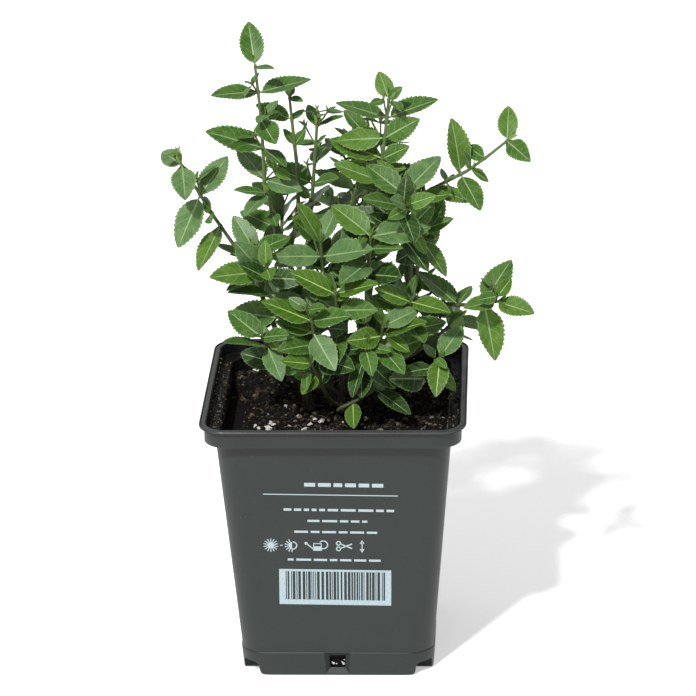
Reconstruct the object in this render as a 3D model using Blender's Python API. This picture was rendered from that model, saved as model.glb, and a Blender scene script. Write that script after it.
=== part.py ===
"""Wintercreeper euonymus, a small evergreen shrub, in its square nursery pot.

The origin is the middle of the pot's flat underside, +Z is up and -Y is the front.
Lengths below are in millimetres, and MM turns them to metres.
"""

import math
import random
from collections import namedtuple

import bmesh
import bpy
from mathutils import Matrix, Vector
from mathutils.bvhtree import BVHTree

MM = 0.001
GAP = 0.3  # clearance between neighbouring solids

# Pot
POT_HEIGHT = 95.0
FLANGE_HALF = 45.0  # half the width over the flange
FLANGE_THICK = 1.2
FLANGE_BEVEL = 0.3
BAND_HALF = 43.3  # the upright band under the flange
BAND_FOOT = 89.2  # height of the band's lower edge
BAND_BEVEL = 0.6
MOUTH_DRAFT = 0.4  # how much the band's inside opens towards the rim
BODY_TOP_HALF = 39.9
BODY_FOOT_HALF = 32.4
WALL = 1.3
FLOOR_THICK = 1.4
CORNER_TOP = 8.0  # corner radius at the rim
CORNER_FOOT = 5.0
CORNER_FLANGE = 9.0
CORNER_STEPS = 3
SKIRT_HEIGHT = 7.8  # the proud panel at the foot of each side
SKIRT_PROUD = 0.5
SKIRT_HALF = 24.5
SKIRT_BEVEL = 0.5
RAISED_CORNER = 4.6  # the underside steps up this far at each corner
WINDOW_HALF = 4.0  # drain window in the middle of each panel
WINDOW_TOP = 7.2
WINDOW_DEPTH = 2.2  # how far it goes in from the foot's side
DRAIN_HOLE_RADIUS = 3.0
DRAIN_HOLE_RING = 17.0
DRAIN_HOLE_SIDES = 10
CUTTER_PAST = 5.0  # how far a cutter runs past what it opens
CUTTER_FAR = 60.0  # outside the pot on every side

# Soil
SOIL_TOP = 86.5
SOIL_CLEAR = 0.4  # between the soil and the pot's wall
SOIL_STEP_UP = 6.6  # above the raised corners the soil fills the whole section
SOIL_FOOT_INSET = 1.0
SOIL_FOOT_FLAT = 3.0  # half the flat on each side of the soil's nearly round foot
SOIL_EDGE_DROP = 1.5  # the surface falls off like this along the wall
SOIL_EDGE_WIDTH = 2.0

# Plant
STEM_RADIUS = 1.5
STEM_TIP_RADIUS = 0.95
FLARE = 1.7  # a stem's radius at the soil, as a multiple
FLARE_HEIGHT = 5.0
STEM_SIDES = 8
STEM_STEPS = 2  # rings between two given points
BOUGH_SIDES = 5
BOUGH_STEPS = 5
BOUGH_RADIUS = 0.85
BOUGH_TIP_RADIUS = 0.65
BOUGH_RISE = 0.55  # a bough leaves its stem outwards and this much along it
SHOOT_RADIUS = 0.75
SHOOT_TIP_RADIUS = 0.5
TWIG_RADIUS = 0.5
TWIG_SIDES = 3
TWIG_REACH = (7.0, 11.0)  # shortest and longest side twig
TWIG_TURN = 25.0  # degrees by which side twigs stray from halfway between the pairs
YOUNG_LEAF = 0.72  # leaf at a shoot's tip, as a share of its longest
YOUNG_TWIG_LEAF = 0.75  # the same on a side twig
TWIG_LEAF = 0.8  # longest leaf of a side twig, as a share of its shoot's
ROOT_DEPTH = 0.15  # how far a leaf's root reaches past the middle of its twig

# Leaves, in shares of a leaf's length, except as said
LEAF_WIDTH = 0.52
LEAF_THICK = 0.04
LEAF_FOLD = 0.07  # how far the halves fold up from the midrib
LEAF_MIDRIB = 0.3  # where the midrib is thickest
LEAF_WIDEST = 0.36  # where the leaf is widest
LEAF_SHOULDER = 0.68  # where it starts to draw in to its tip
SHOULDER_WIDTH = 0.74  # width there, as a share of the widest
SHOULDER_FOLD = 0.7  # fold there, likewise
TIP_DROP = 0.5  # fall of the tip, as a share of the fold
LEAF_CLEAR = 0.2  # air kept round each leaf, in mm
GUARD_START = 0.1  # the guarded space begins this far along the leaf

# How leaves stand: degrees, and how far each may stray by chance
OPENING = 78.0  # from the twig, at its foot
TIP_CLOSING = 30.0  # less at its tip
OPENING_STRAY = 8.0
PAIR_TURN = 90.0  # each pair stands square to the last
TURN_STRAY = 10.0
ROLL_STRAY = 12.0
SIZE_STRAY = (0.9, 1.04)  # share of the rule's length
NARROWEST, WIDEST = 12.0, 105.0  # limits of the opening
SOIL_AIR = 2.5  # leaves keep this far above the soil and the rim
RIM_AIR = 3.0
CROWN_MIDDLE = Vector((6.0, 26.0, 0.0))  # blades face up and away from this line
OUTER_FACE = Vector((0.0, -0.6, 0.8))  # the leaves that follow the photo face up and forwards
EYE = Vector((60.3, -1216.3, 563.7))  # where the photo was taken from
AWAY, NEAR = 1, -1
PLANT_SEED = 41

# Each stem: its foot on the soil, then the points that its leaning line passes
STEMS = {
    "stem_left": [(-9, -3, SOIL_TOP), (-13, -4, 100), (-20, -5, 116), (-26, -4, 132)],
    "stem_tall": [(-2, 6, SOIL_TOP), (-6, 7, 104), (-14, 7, 130), (-22, 7, 158)],
    "stem_middle": [(7, 2, SOIL_TOP), (9, 3, 108), (12, 2, 130), (14, 3, 152)],
    "stem_right": [(14, 5, SOIL_TOP), (18, 4, 102), (24, 3, 126), (29, 3, 158)],
    "stem_back": [(4, 15, SOIL_TOP), (2, 19, 104), (3, 25, 122), (4, 29, 142)],
    "stem_front": [(2, -7, SOIL_TOP), (2, -10, 97), (3, -13, 107), (2, -15, 115)],
}

# Each leafy shoot: the stem that carries it, how far up that stem its bough leaves, the points where
# it begins and ends, its pairs of leaves, the turn of the first pair, its longest leaf and its side twigs
# at each joint
Shoot = namedtuple("Shoot", "stem share foot apex pairs turn leaf twigs")
SHOOTS = {
    "tall_left": Shoot("stem_tall", 1.0, (-22, 7, 158), (-26, 8, 207), 5, 0, 19, 0),
    "left_reach": Shoot("stem_left", 1.0, (-26, -4, 132), (-51, -4, 176), 4, 80, 19, 0),
    "top_right": Shoot("stem_middle", 1.0, (14, 3, 152), (19, 6, 196), 6, 30, 19, 0),
    "right_reach": Shoot("stem_right", 1.0, (29, 3, 158), (59, 2, 182), 4, 80, 19, 0),
    "back_top": Shoot("stem_back", 1.0, (4, 29, 142), (10, 33, 175), 5, 20, 18, 2),
    "front_middle": Shoot("stem_front", 1.0, (2, -15, 115), (1, -22, 136), 3, -85, 18, 2),
    "tall_front": Shoot("stem_tall", 0.85, (-20, -1, 152), (-22, -5, 166), 2, 40, 17, 0),
    "fork_back": Shoot("stem_tall", 0.62, (-9, 16, 148), (-6, 17, 183), 5, 40, 17, 0),
    "low_right": Shoot("stem_right", 0.34, (38, 3, 123), (55, -11, 129), 4, 5, 20, 0),
    "left_middle": Shoot("stem_left", 0.5, (-16, -12, 117), (-26, -15, 149), 4, -40, 20, 2),
    "left_front": Shoot("stem_left", 0.25, (-17, -12, 104), (-24, -21, 120), 4, -5, 17, 1),
    "centre_left": Shoot("stem_tall", 0.4, (-3, -4, 128), (-4, -13, 151), 4, -8, 20, 2),
    "centre": Shoot("stem_middle", 0.5, (11, -6, 133), (13, -15, 154), 4, 50, 21, 2),
    "upper_middle": Shoot("stem_middle", 0.8, (20, -2, 147), (24, -9, 167), 4, 40, 20, 2),
    "low_front_left": Shoot("stem_front", 0.3, (-5, -15, 107), (-7, -24, 127), 4, 10, 19, 2),
    "front_small": Shoot("stem_front", 0.12, (-3, -17, 98), (-7, -28, 113), 3, 90, 13, 0),
    "front_right": Shoot("stem_middle", 0.22, (14, -14, 108), (17, -24, 125), 4, -20, 16, 2),
    "middle_right": Shoot("stem_right", 0.24, (23, -9, 114), (26, -16, 131), 4, 20, 17, 2),
    "right_front": Shoot("stem_right", 0.1, (29, -10, 98), (36, -19, 112), 3, 10, 17, 0),
    "right_side": Shoot("stem_right", 0.56, (28, 3, 137), (30, 0, 151), 4, 30, 18, 2),
    "foot_right": Shoot("stem_front", 0.55, (9, -16, 104), (11, -26, 118), 3, 100, 14, 2),
    "back_left": Shoot("stem_tall", 0.5, (-20, 18, 130), (-19, 26, 151), 5, 10, 19, 2),
    "back_left_low": Shoot("stem_back", 0.2, (-12, 24, 104), (-27, 36, 119), 5, 50, 19, 2),
    "back_right": Shoot("stem_right", 0.66, (33, 14, 142), (30, 27, 150), 4, 0, 19, 1),
    "back_right_low": Shoot("stem_back", 0.32, (17, 25, 109), (30, 38, 120), 5, 70, 19, 1),
    "back_middle": Shoot("stem_back", 0.66, (6, 36, 134), (9, 46, 152), 4, 80, 19, 2),
    "right_low": Shoot("stem_right", 0.18, (28, 12, 103), (41, 15, 113), 4, 20, 18, 1),
    "foot_low": Shoot("stem_front", 0.05, (3, -19, 94), (14, -18, 100), 3, 20, 10, 0),
    "tall_back": Shoot("stem_tall", 0.74, (-13, 14, 170), (-15, 14, 194), 3, 0, 13, 0),
}

# The leaves that follow the photo: shoot, pair and side, then where the tip is seen against the upright
# plane through the pot's middle (x, z), the length, whether the leaf runs away from the eye or nearer to
# it, and the turn about its own midrib
OUTER_LEAVES = {
    ("tall_left", 4, 0): (-27.5, 224.5, 17, AWAY, 0),
    ("tall_left", 4, 1): (-19, 208, 8, NEAR, -25),
    ("tall_left", 3, 0): (-40.5, 199.5, 16.5, NEAR, 15),
    ("tall_left", 3, 1): (-6.5, 204.5, 19.5, AWAY, -20),
    ("tall_left", 2, 0): (-17.5, 193.5, 9, AWAY, 5),
    ("tall_left", 2, 1): (-19.5, 181.5, 15, NEAR, 5),
    ("tall_left", 1, 0): (-42.5, 186.5, 20.5, NEAR, 10),
    ("tall_left", 1, 1): (-16, 174, 14, NEAR, -20),
    ("tall_left", 0, 0): (-31.5, 181, 18, AWAY, 20),
    ("tall_left", 0, 1): (-10.5, 165, 14, NEAR, 0),
    ("tall_front", 1, 0): (-30.5, 156.5, 13, NEAR, 20),
    ("tall_front", 1, 1): (-33.5, 165.5, 12.5, NEAR, 25),
    ("tall_front", 0, 1): (-19.5, 152.5, 9, NEAR, 0),
    ("fork_back", 4, 0): (-8, 195.5, 9.5, AWAY, 15),
    ("fork_back", 4, 1): (4, 191.5, 11, NEAR, -30),
    ("fork_back", 3, 0): (-12.5, 182, 8, AWAY, 20),
    ("fork_back", 3, 1): (-2, 185, 6, NEAR, -25),
    ("fork_back", 1, 1): (1.5, 169.5, 13, NEAR, 0),
    ("left_reach", 3, 0): (-57.5, 179.5, 14.5, AWAY, -20),
    ("left_reach", 3, 1): (-50, 162, 16, NEAR, 0),
    ("left_reach", 2, 0): (-35.5, 177.5, 17, AWAY, -5),
    ("left_reach", 2, 1): (-53.5, 144.5, 19.5, NEAR, 15),
    ("left_reach", 1, 1): (-46.5, 136.5, 18, NEAR, 30),
    ("left_reach", 0, 0): (-40.5, 146.5, 12, AWAY, 35),
    ("top_right", 5, 0): (16, 207, 12, AWAY, -5),
    ("top_right", 5, 1): (23.5, 201.5, 7.5, NEAR, 25),
    ("top_right", 4, 0): (1.5, 197, 19, AWAY, 25),
    ("top_right", 4, 1): (35.5, 197.5, 19, AWAY, -20),
    ("top_right", 3, 0): (1, 183, 17.5, AWAY, -5),
    ("top_right", 3, 1): (29, 190.5, 15, NEAR, 30),
    ("top_right", 2, 0): (-1, 184, 20.5, AWAY, 10),
    ("top_right", 2, 1): (25.5, 180.5, 12, NEAR, 30),
    ("back_top", 4, 0): (4, 193.5, 12, AWAY, 15),
    ("right_reach", 3, 0): (59.5, 195, 14, AWAY, 0),
    ("right_reach", 3, 1): (66.5, 175.5, 14, NEAR, 20),
    ("right_reach", 1, 0): (40.5, 190.5, 19.6, NEAR, 30),
    ("right_reach", 1, 1): (50, 158, 16, NEAR, -15),
    ("right_reach", 2, 0): (45, 180.5, 10.5, AWAY, -40),
    ("right_reach", 0, 0): (46.5, 161.5, 14, NEAR, -10),
    ("low_right", 3, 0): (68, 121, 15, NEAR, 0),
    ("low_right", 3, 1): (44, 123, 13, NEAR, 0),
    ("low_right", 2, 0): (59.5, 140.5, 19, AWAY, -15),
    ("low_right", 2, 1): (54.5, 103, 20, NEAR, -25),
    ("left_middle", 3, 0): (-34, 156.5, 15, AWAY, 0),
    ("left_middle", 3, 1): (-15, 149, 14, AWAY, 0),
    ("left_middle", 2, 0): (-33.5, 146.5, 19, NEAR, -40),
    ("left_middle", 2, 1): (-42.5, 134.5, 19, NEAR, 0),
    ("left_middle", 1, 0): (-8.5, 120, 17, NEAR, 0),
    ("left_middle", 1, 1): (-36.5, 129, 16, NEAR, 25),
    ("centre_left", 3, 0): (-12, 161, 16.5, NEAR, 35),
    ("centre_left", 3, 1): (1.5, 160, 15.5, AWAY, -20),
    ("centre_left", 2, 0): (-22, 142, 18, NEAR, 0),
    ("centre_left", 2, 1): (13, 144, 20, NEAR, 0),
    ("centre", 3, 0): (-0.5, 160.5, 19, AWAY, 0),
    ("centre", 3, 1): (33, 152.5, 21.5, AWAY, 0),
    ("centre", 2, 0): (23, 144.5, 13, NEAR, -10),
    ("upper_middle", 3, 0): (36.5, 177.5, 20, AWAY, -10),
    ("upper_middle", 3, 1): (11, 174, 17, AWAY, 0),
    ("upper_middle", 2, 0): (10, 162.5, 16, NEAR, 10),
    ("right_side", 3, 0): (36.5, 161.5, 12.5, NEAR, -15),
    ("right_side", 3, 1): (40.5, 155, 11.5, NEAR, 0),
    ("right_side", 2, 0): (38, 134.5, 16, NEAR, -25),
    ("right_side", 2, 1): (34.5, 148, 9, NEAR, 0),
    ("front_middle", 2, 0): (-15, 136, 17.5, NEAR, 0),
    ("front_middle", 2, 1): (14.5, 132, 15.5, NEAR, -15),
    ("low_front_left", 3, 0): (-25, 126, 18.5, NEAR, 10),
    ("low_front_left", 3, 1): (5, 120.5, 15.5, NEAR, 0),
    ("low_front_left", 2, 0): (-21, 118, 14, AWAY, 5),
    ("low_front_left", 2, 1): (-1, 100, 16.5, NEAR, 10),
    ("front_right", 3, 0): (10.5, 130, 15, AWAY, 50),
    ("front_right", 3, 1): (28.5, 123, 14.5, AWAY, 0),
    ("front_right", 2, 0): (4, 110.5, 15, NEAR, -35),
    ("front_right", 2, 1): (31, 118.5, 17, NEAR, -25),
    ("middle_right", 3, 0): (13.5, 130, 14, NEAR, 0),
    ("middle_right", 3, 1): (39, 121.5, 15.5, NEAR, -10),
    ("middle_right", 2, 0): (27, 135, 13, AWAY, -55),
    ("left_front", 3, 0): (-37, 122, 16, AWAY, 0),
    ("left_front", 3, 1): (-16.5, 113.5, 12, NEAR, 0),
    ("left_front", 2, 0): (-39, 111, 18.5, NEAR, 35),
    ("left_front", 2, 1): (-19, 96.5, 14.5, NEAR, 0),
    ("right_front", 2, 0): (43, 116.5, 15, AWAY, 0),
    ("right_front", 2, 1): (34, 90.5, 15, NEAR, 0),
    ("right_front", 1, 0): (41, 92.5, 11, NEAR, 0),
    ("right_front", 1, 1): (23, 99.5, 12, NEAR, 0),
    ("foot_right", 2, 0): (12.5, 98.5, 12.5, NEAR, -5),
    ("foot_right", 2, 1): (1.5, 107.5, 10, AWAY, 0),
    ("foot_right", 1, 0): (5, 90, 14.5, NEAR, 40),
    ("foot_right", 1, 1): (20.5, 93.5, 15.5, AWAY, 0),
    ("front_small", 2, 0): (-19, 104, 11.5, NEAR, 0),
    ("front_small", 1, 0): (-12, 91.5, 10, NEAR, 0),
    ("foot_low", 0, 0): (5.5, 78.5, 11.2, NEAR, 20),
    ("foot_low", 2, 0): (25.5, 84, 15.2, NEAR, -20),
    ("tall_back", 2, 0): (-13.5, 203, 7, AWAY, 0),
    ("tall_back", 2, 1): (-9.5, 196.5, 6, NEAR, -5),
    ("tall_back", 1, 0): (-25.5, 196, 13.5, AWAY, 0),
    ("tall_back", 1, 1): (-9.5, 194, 7, AWAY, -15),
    ("tall_back", 0, 0): (-16.5, 187, 7, AWAY, 20),
    ("tall_back", 0, 1): (-9, 186.5, 7.4, NEAR, 20),
    ("low_right", 0, 0): (28.5, 136.5, 19, AWAY, 25),
    ("low_right", 0, 1): (46.5, 131, 11, AWAY, -25),
}

# The places on the shoots that carry no leaf
BARE_PLACES = {
    ("left_reach", 1, 0),
    ("right_reach", 2, 1),
    ("right_reach", 0, 1),
    ("tall_front", 0, 0),
    ("upper_middle", 0, 1),
    ("right_front", 0, 1),
    ("right_low", 1, 1),
    ("back_right", 2, 1),
    ("low_right", 1, 1),
    ("back_right", 0, 0),
    ("back_right_low", 4, 0),
    ("back_right_low", 4, 1),
    ("foot_low", 0, 1),
    ("foot_low", 1, 1),
    ("front_small", 0, 1),
    ("fork_back", 2, 1),
    ("left_front", 1, 1),
    ("left_reach", 0, 1),
    ("low_right", 1, 0),
    ("right_side", 0, 1),
}


def clear_scene():
    for thing in list(bpy.data.objects):
        bpy.data.objects.remove(thing)


def plain_material(name, colour, roughness, metallic=0.0):
    """A Principled material of one colour, given as sRGB hex."""
    material = bpy.data.materials.new(name)
    material.use_nodes = True
    shader = material.node_tree.nodes["Principled BSDF"]
    parts = [int(colour[i : i + 2], 16) / 255 for i in (1, 3, 5)]
    linear = [c / 12.92 if c <= 0.04045 else ((c + 0.055) / 1.055) ** 2.4 for c in parts]
    shader.inputs["Base Color"].default_value = (*linear, 1.0)
    shader.inputs["Roughness"].default_value = roughness
    shader.inputs["Metallic"].default_value = metallic
    material.diffuse_color = (*linear, 1.0)
    return material


def add_object(name, bm, material, collection=None):
    """Turns a bmesh in millimetres into an object in metres."""
    bmesh.ops.scale(bm, vec=(MM, MM, MM), verts=bm.verts)
    bmesh.ops.recalc_face_normals(bm, faces=bm.faces)
    mesh = bpy.data.meshes.new(name)
    bm.to_mesh(mesh)
    bm.free()
    if material:
        mesh.materials.append(material)
    thing = bpy.data.objects.new(name, mesh)
    (collection or bpy.context.scene.collection).objects.link(thing)
    return thing


def apply_modifiers(thing):
    """Keeps the evaluated mesh and drops the modifiers."""
    graph = bpy.context.evaluated_depsgraph_get()
    mesh = bpy.data.meshes.new_from_object(thing.evaluated_get(graph))
    thing.modifiers.clear()
    thing.data = mesh


# Pot and soil


def rounded_square(half, radius, height):
    """The corners of a square ring with round corners, anticlockwise from above."""
    points = []
    for corner in range(4):
        start = corner * math.pi / 2
        middle = Matrix.Rotation(start, 3, "Z") @ Vector((half - radius, half - radius, 0))
        for step in range(CORNER_STEPS + 1):
            angle = start + step * math.pi / 2 / CORNER_STEPS
            points.append(middle + Vector((radius * math.cos(angle), radius * math.sin(angle), height)))
    return points


def loft(rings):
    """A closed solid through rings of (half width, corner radius, height), listed from below."""
    bm = bmesh.new()
    loops = []
    for half, radius, height in rings:
        loops.append([bm.verts.new(p) for p in rounded_square(half, radius, height)])
    count = len(loops[0])
    for low, high in zip(loops, loops[1:]):
        for i in range(count):
            j = (i + 1) % count
            bm.faces.new((low[i], low[j], high[j], high[i]))
    bm.faces.new(reversed(loops[0]))
    bm.faces.new(loops[-1])
    return bm


def box(low, high):
    bm = bmesh.new()
    size = Vector(high) - Vector(low)
    place = Matrix.Translation((Vector(high) + Vector(low)) / 2) @ Matrix.Diagonal((*size, 1))
    bmesh.ops.create_cube(bm, size=1.0, matrix=place)
    return bm


def cut(thing, cutters):
    """Takes the cutters away from the object and applies it."""
    for number, cutter in enumerate(cutters):
        cutter.hide_render = True
        cutter.display_type = "WIRE"
        boolean = thing.modifiers.new(f"cut_{number}", "BOOLEAN")
        boolean.operation = "DIFFERENCE"
        boolean.object = cutter
    apply_modifiers(thing)
    for cutter in cutters:
        bpy.data.objects.remove(cutter)


def body_half(height):
    """Half the outer width of the tapered body."""
    return BODY_FOOT_HALF + (BODY_TOP_HALF - BODY_FOOT_HALF) * height / BAND_FOOT


def corner_boxes(inset, top):
    """Cutters that raise the four corners of the underside."""
    inner = SKIRT_HALF - inset
    boxes = []
    for quarter in range(4):
        bm = box((inner, inner, -CUTTER_PAST), (CUTTER_FAR, CUTTER_FAR, top))
        bmesh.ops.rotate(bm, matrix=Matrix.Rotation(quarter * math.pi / 2, 3, "Z"), verts=bm.verts)
        boxes.append(add_object(f"corner_cut_{quarter}", bm, None))
    return boxes


def make_pot():
    plastic = plain_material("pot_plastic", "#484c4a", 0.5)
    outer = loft(
        [
            (body_half(0) + SKIRT_PROUD, CORNER_FOOT, 0),
            (body_half(SKIRT_HEIGHT) + SKIRT_PROUD, CORNER_FOOT, SKIRT_HEIGHT - SKIRT_BEVEL),
            (body_half(SKIRT_HEIGHT), CORNER_FOOT, SKIRT_HEIGHT),
            (BODY_TOP_HALF, CORNER_TOP, BAND_FOOT),
            (BAND_HALF - BAND_BEVEL, CORNER_TOP, BAND_FOOT),
            (BAND_HALF, CORNER_TOP, BAND_FOOT + BAND_BEVEL),
            (BAND_HALF, CORNER_TOP, POT_HEIGHT - FLANGE_THICK),
            (FLANGE_HALF, CORNER_FLANGE, POT_HEIGHT - FLANGE_THICK),
            (FLANGE_HALF, CORNER_FLANGE, POT_HEIGHT - FLANGE_BEVEL),
            (FLANGE_HALF - FLANGE_BEVEL, CORNER_FLANGE, POT_HEIGHT),
        ]
    )
    pot = add_object("pot", outer, plastic)
    inner = loft(
        [
            (body_half(FLOOR_THICK) - WALL, CORNER_FOOT - WALL, FLOOR_THICK),
            (BODY_TOP_HALF - WALL, CORNER_TOP - WALL, BAND_FOOT + WALL),
            (BAND_HALF - WALL, CORNER_TOP - WALL, BAND_FOOT + WALL),
            (BAND_HALF - WALL + MOUTH_DRAFT, CORNER_TOP - WALL, POT_HEIGHT + CUTTER_PAST),
        ]
    )
    hollow = add_object("hollow", inner, None)
    cut(hollow, corner_boxes(WALL, RAISED_CORNER + FLOOR_THICK))
    cutters = [hollow] + corner_boxes(0, RAISED_CORNER)
    for side in range(4):
        inside = WINDOW_DEPTH - body_half(0)
        bm = box((-WINDOW_HALF, -CUTTER_FAR, -CUTTER_PAST), (WINDOW_HALF, inside, WINDOW_TOP))
        bmesh.ops.rotate(bm, matrix=Matrix.Rotation(side * math.pi / 2, 3, "Z"), verts=bm.verts)
        cutters.append(add_object(f"window_{side}", bm, None))
    for number in range(4):
        angle = (number + 0.5) * math.pi / 2
        place = Matrix.Translation((DRAIN_HOLE_RING * math.cos(angle), DRAIN_HOLE_RING * math.sin(angle), 0))
        bm = bmesh.new()
        bmesh.ops.create_cone(
            bm, cap_ends=True, segments=DRAIN_HOLE_SIDES, radius1=DRAIN_HOLE_RADIUS,
            radius2=DRAIN_HOLE_RADIUS, depth=CUTTER_PAST * 2, matrix=place,
        )
        cutters.append(add_object(f"drain_{number}", bm, None))
    cut(pot, cutters)
    return pot


def make_soil():
    peat = plain_material("peat", "#1b1613", 0.95)

    def half(height):
        return body_half(height) - WALL - SOIL_CLEAR

    low = FLOOR_THICK + GAP
    shoulder = SOIL_TOP - SOIL_EDGE_DROP
    foot_half = half(low) - SOIL_FOOT_INSET
    soil = loft(
        [
            (foot_half, foot_half - SOIL_FOOT_FLAT, low),
            (foot_half, foot_half - SOIL_FOOT_FLAT, SOIL_STEP_UP),
            (half(SOIL_STEP_UP), CORNER_FOOT - WALL, SOIL_STEP_UP + 0.1),
            (half(shoulder), CORNER_TOP - WALL, shoulder),
            (half(SOIL_TOP) - SOIL_EDGE_WIDTH, CORNER_TOP - WALL, SOIL_TOP - GAP),
        ]
    )
    return add_object("soil", soil, peat)


# Limbs


def smooth_line(points, steps):
    """Points along a smooth curve through the given points."""
    given = [Vector(p) for p in points]
    ends = [2 * given[0] - given[1]] + given + [2 * given[-1] - given[-2]]
    line = []
    for a, b, c, d in zip(ends, ends[1:], ends[2:], ends[3:]):
        for step in range(steps):
            t = step / steps
            bend = 2 * a - 5 * b + 4 * c - d
            twist = 3 * b - a - 3 * c + d
            line.append(0.5 * (2 * b + (c - a) * t + bend * t**2 + twist * t**3))
    line.append(given[-1])
    return line


def point_at(line, share):
    """The point and direction at a share of a line's length."""
    lengths = [(b - a).length for a, b in zip(line, line[1:])]
    left = share * sum(lengths)
    for a, b, length in zip(line, line[1:], lengths):
        if left <= length or b is line[-1]:
            return a.lerp(b, left / length), (b - a).normalized()
        left -= length


def across(direction):
    """Two directions square to this one: the first is level, the second points up."""
    side = direction.cross(Vector((0, 0, 1)))
    if side.length < 0.05:
        side = Vector((1, 0, 0)) - direction * direction.x
    side.normalize()
    return side, side.cross(direction).normalized()


def add_tube(bm, line, radii, sides):
    """A closed tapering tube along a line, whose rings don't twist."""
    loops = []
    side = across((line[1] - line[0]).normalized())[0]
    for i, (point, radius) in enumerate(zip(line, radii)):
        before, after = line[max(i - 1, 0)], line[min(i + 1, len(line) - 1)]
        direction = (after - before).normalized()
        side = (side - direction * side.dot(direction)).normalized()
        up = side.cross(direction)
        ring = []
        for k in range(sides):
            angle = 2 * math.pi * k / sides
            ring.append(bm.verts.new(point + radius * (side * math.cos(angle) + up * math.sin(angle))))
        loops.append(ring)
    for low, high in zip(loops, loops[1:]):
        for i in range(sides):
            j = (i + 1) % sides
            bm.faces.new((low[i], low[j], high[j], high[i]))
    bm.faces.new(reversed(loops[0]))
    bm.faces.new(loops[-1])


def taper(first, last, count):
    return [first + (last - first) * i / (count - 1) for i in range(count)]


def stem_radii(line):
    """The stem's taper, with a flare where it comes out of the soil."""
    radii = taper(STEM_RADIUS, STEM_TIP_RADIUS, len(line))
    for i, point in enumerate(line):
        rise = (point.z - SOIL_TOP) / FLARE_HEIGHT
        radii[i] *= 1 + (FLARE - 1) * max(0.0, 1 - rise) ** 2
    return radii


def flat_foot(line):
    """Starts a stem straight up, so that its cut at the soil is flat."""
    foot = line[0]
    return [foot, foot + Vector((0, 0, 1.5))] + line[1:]


def bough_line(stem_line, shoot, stem_radius):
    """The bough's curve from just outside its stem to just short of its shoot."""
    start, along = point_at(stem_line, shoot.share)
    foot, apex = Vector(shoot.foot), Vector(shoot.apex)
    lead = (apex - foot).normalized()
    out = foot - start
    out.z = 0
    reach = (foot - start).length
    leave = (out.normalized() + along * BOUGH_RISE).normalized()
    handles = [start, start + leave * reach * 0.4, foot - lead * reach * 0.35, foot]
    line = []
    for i in range(BOUGH_STEPS + 1):
        t = i / BOUGH_STEPS
        weights = ((1 - t) ** 3, 3 * t * (1 - t) ** 2, 3 * t**2 * (1 - t), t**3)
        line.append(sum((h * w for h, w in zip(handles, weights)), Vector()))
    angle = leave.angle(along)
    skip = (stem_radius + GAP) / math.sin(angle) + BOUGH_RADIUS / math.tan(angle) + 0.1
    line[0] = start + leave * skip
    line[-1] = foot - lead * GAP
    return line


# Leaves


def leaf_points(length, width, thick):
    """A leaf lying along +X with its face up: root, two pairs of side points, tip, midrib top and bottom."""
    fold = LEAF_FOLD * length
    near, far = LEAF_WIDEST * length, LEAF_SHOULDER * length
    narrow = SHOULDER_WIDTH * width / 2
    return [
        (0, 0, 0),
        (near, width / 2, fold),
        (near, -width / 2, fold),
        (far, narrow, SHOULDER_FOLD * fold),
        (far, -narrow, SHOULDER_FOLD * fold),
        (length, 0, -TIP_DROP * fold),
        (LEAF_MIDRIB * length, 0, thick / 2),
        (LEAF_MIDRIB * length, 0, -thick / 2),
    ]


LEAF_FACES = [
    (6, 1, 0), (6, 3, 1), (6, 5, 3), (6, 4, 5), (6, 2, 4), (6, 0, 2),
    (7, 0, 1), (7, 1, 3), (7, 3, 5), (7, 5, 4), (7, 4, 2), (7, 2, 0),
]  # fmt: skip


def leaf_frame(root, direction, face):
    """The matrix that lays a leaf along the direction with its upper side towards face."""
    upper = (face - direction * face.dot(direction)).normalized()
    side = upper.cross(direction)
    turn = Matrix((direction, side, upper)).transposed()
    return Matrix.Translation(root) @ turn.to_4x4()


def leaf_guard(frame, length):
    """A closed shape round the blade, but not its root, that other solids stay out of."""
    width = LEAF_WIDTH * length / 2 + LEAF_CLEAR
    fold = LEAF_FOLD * length
    start = GUARD_START / LEAF_WIDEST
    side = [
        (GUARD_START * length, start * width, start * fold),
        (LEAF_WIDEST * length, width, fold),
        (LEAF_SHOULDER * length, SHOULDER_WIDTH * width, SHOULDER_FOLD * fold),
        (length + LEAF_CLEAR, LEAF_CLEAR, -TIP_DROP * fold),
    ]
    outline = side + [(x, -y, z) for x, y, z in reversed(side)]
    ridge = LEAF_CLEAR + LEAF_THICK * length / 2
    above = [(x, y, z + LEAF_CLEAR) for x, y, z in outline]
    below = [(x, y, z - LEAF_CLEAR) for x, y, z in outline]
    middle = [(0.45 * length, 0, ridge), (0.45 * length, 0, -ridge)]
    return [frame @ Vector(p) for p in above + below + middle]


def guard_faces():
    faces = []
    for i in range(8):
        j = (i + 1) % 8
        faces += [(i, j, 16), (j + 8, i + 8, 17), (i, i + 8, j + 8), (i, j + 8, j)]
    return faces


GUARD_FACES = guard_faces()


class Crowd:
    """What already stands in the crown, to keep each new leaf clear of it."""

    def __init__(self):
        self.things = []

    def add(self, points, faces, owner):
        low = Vector([min(p[i] for p in points) for i in range(3)])
        high = Vector([max(p[i] for p in points) for i in range(3)])
        self.things.append((low, high, BVHTree.FromPolygons(points, faces), owner))

    def free(self, points, faces, owner):
        """True if the shape meets nothing but its owner."""
        low = Vector([min(p[i] for p in points) for i in range(3)])
        high = Vector([max(p[i] for p in points) for i in range(3)])
        tree = BVHTree.FromPolygons(points, faces)
        for other_low, other_high, other, whose in self.things:
            if owner is not None and whose == owner:
                continue
            if any(low[i] > other_high[i] or high[i] < other_low[i] for i in range(3)):
                continue
            if tree.overlap(other):
                return False
        return True


Leaf = namedtuple("Leaf", "frame length")
Twig = namedtuple("Twig", "line radii")


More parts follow.
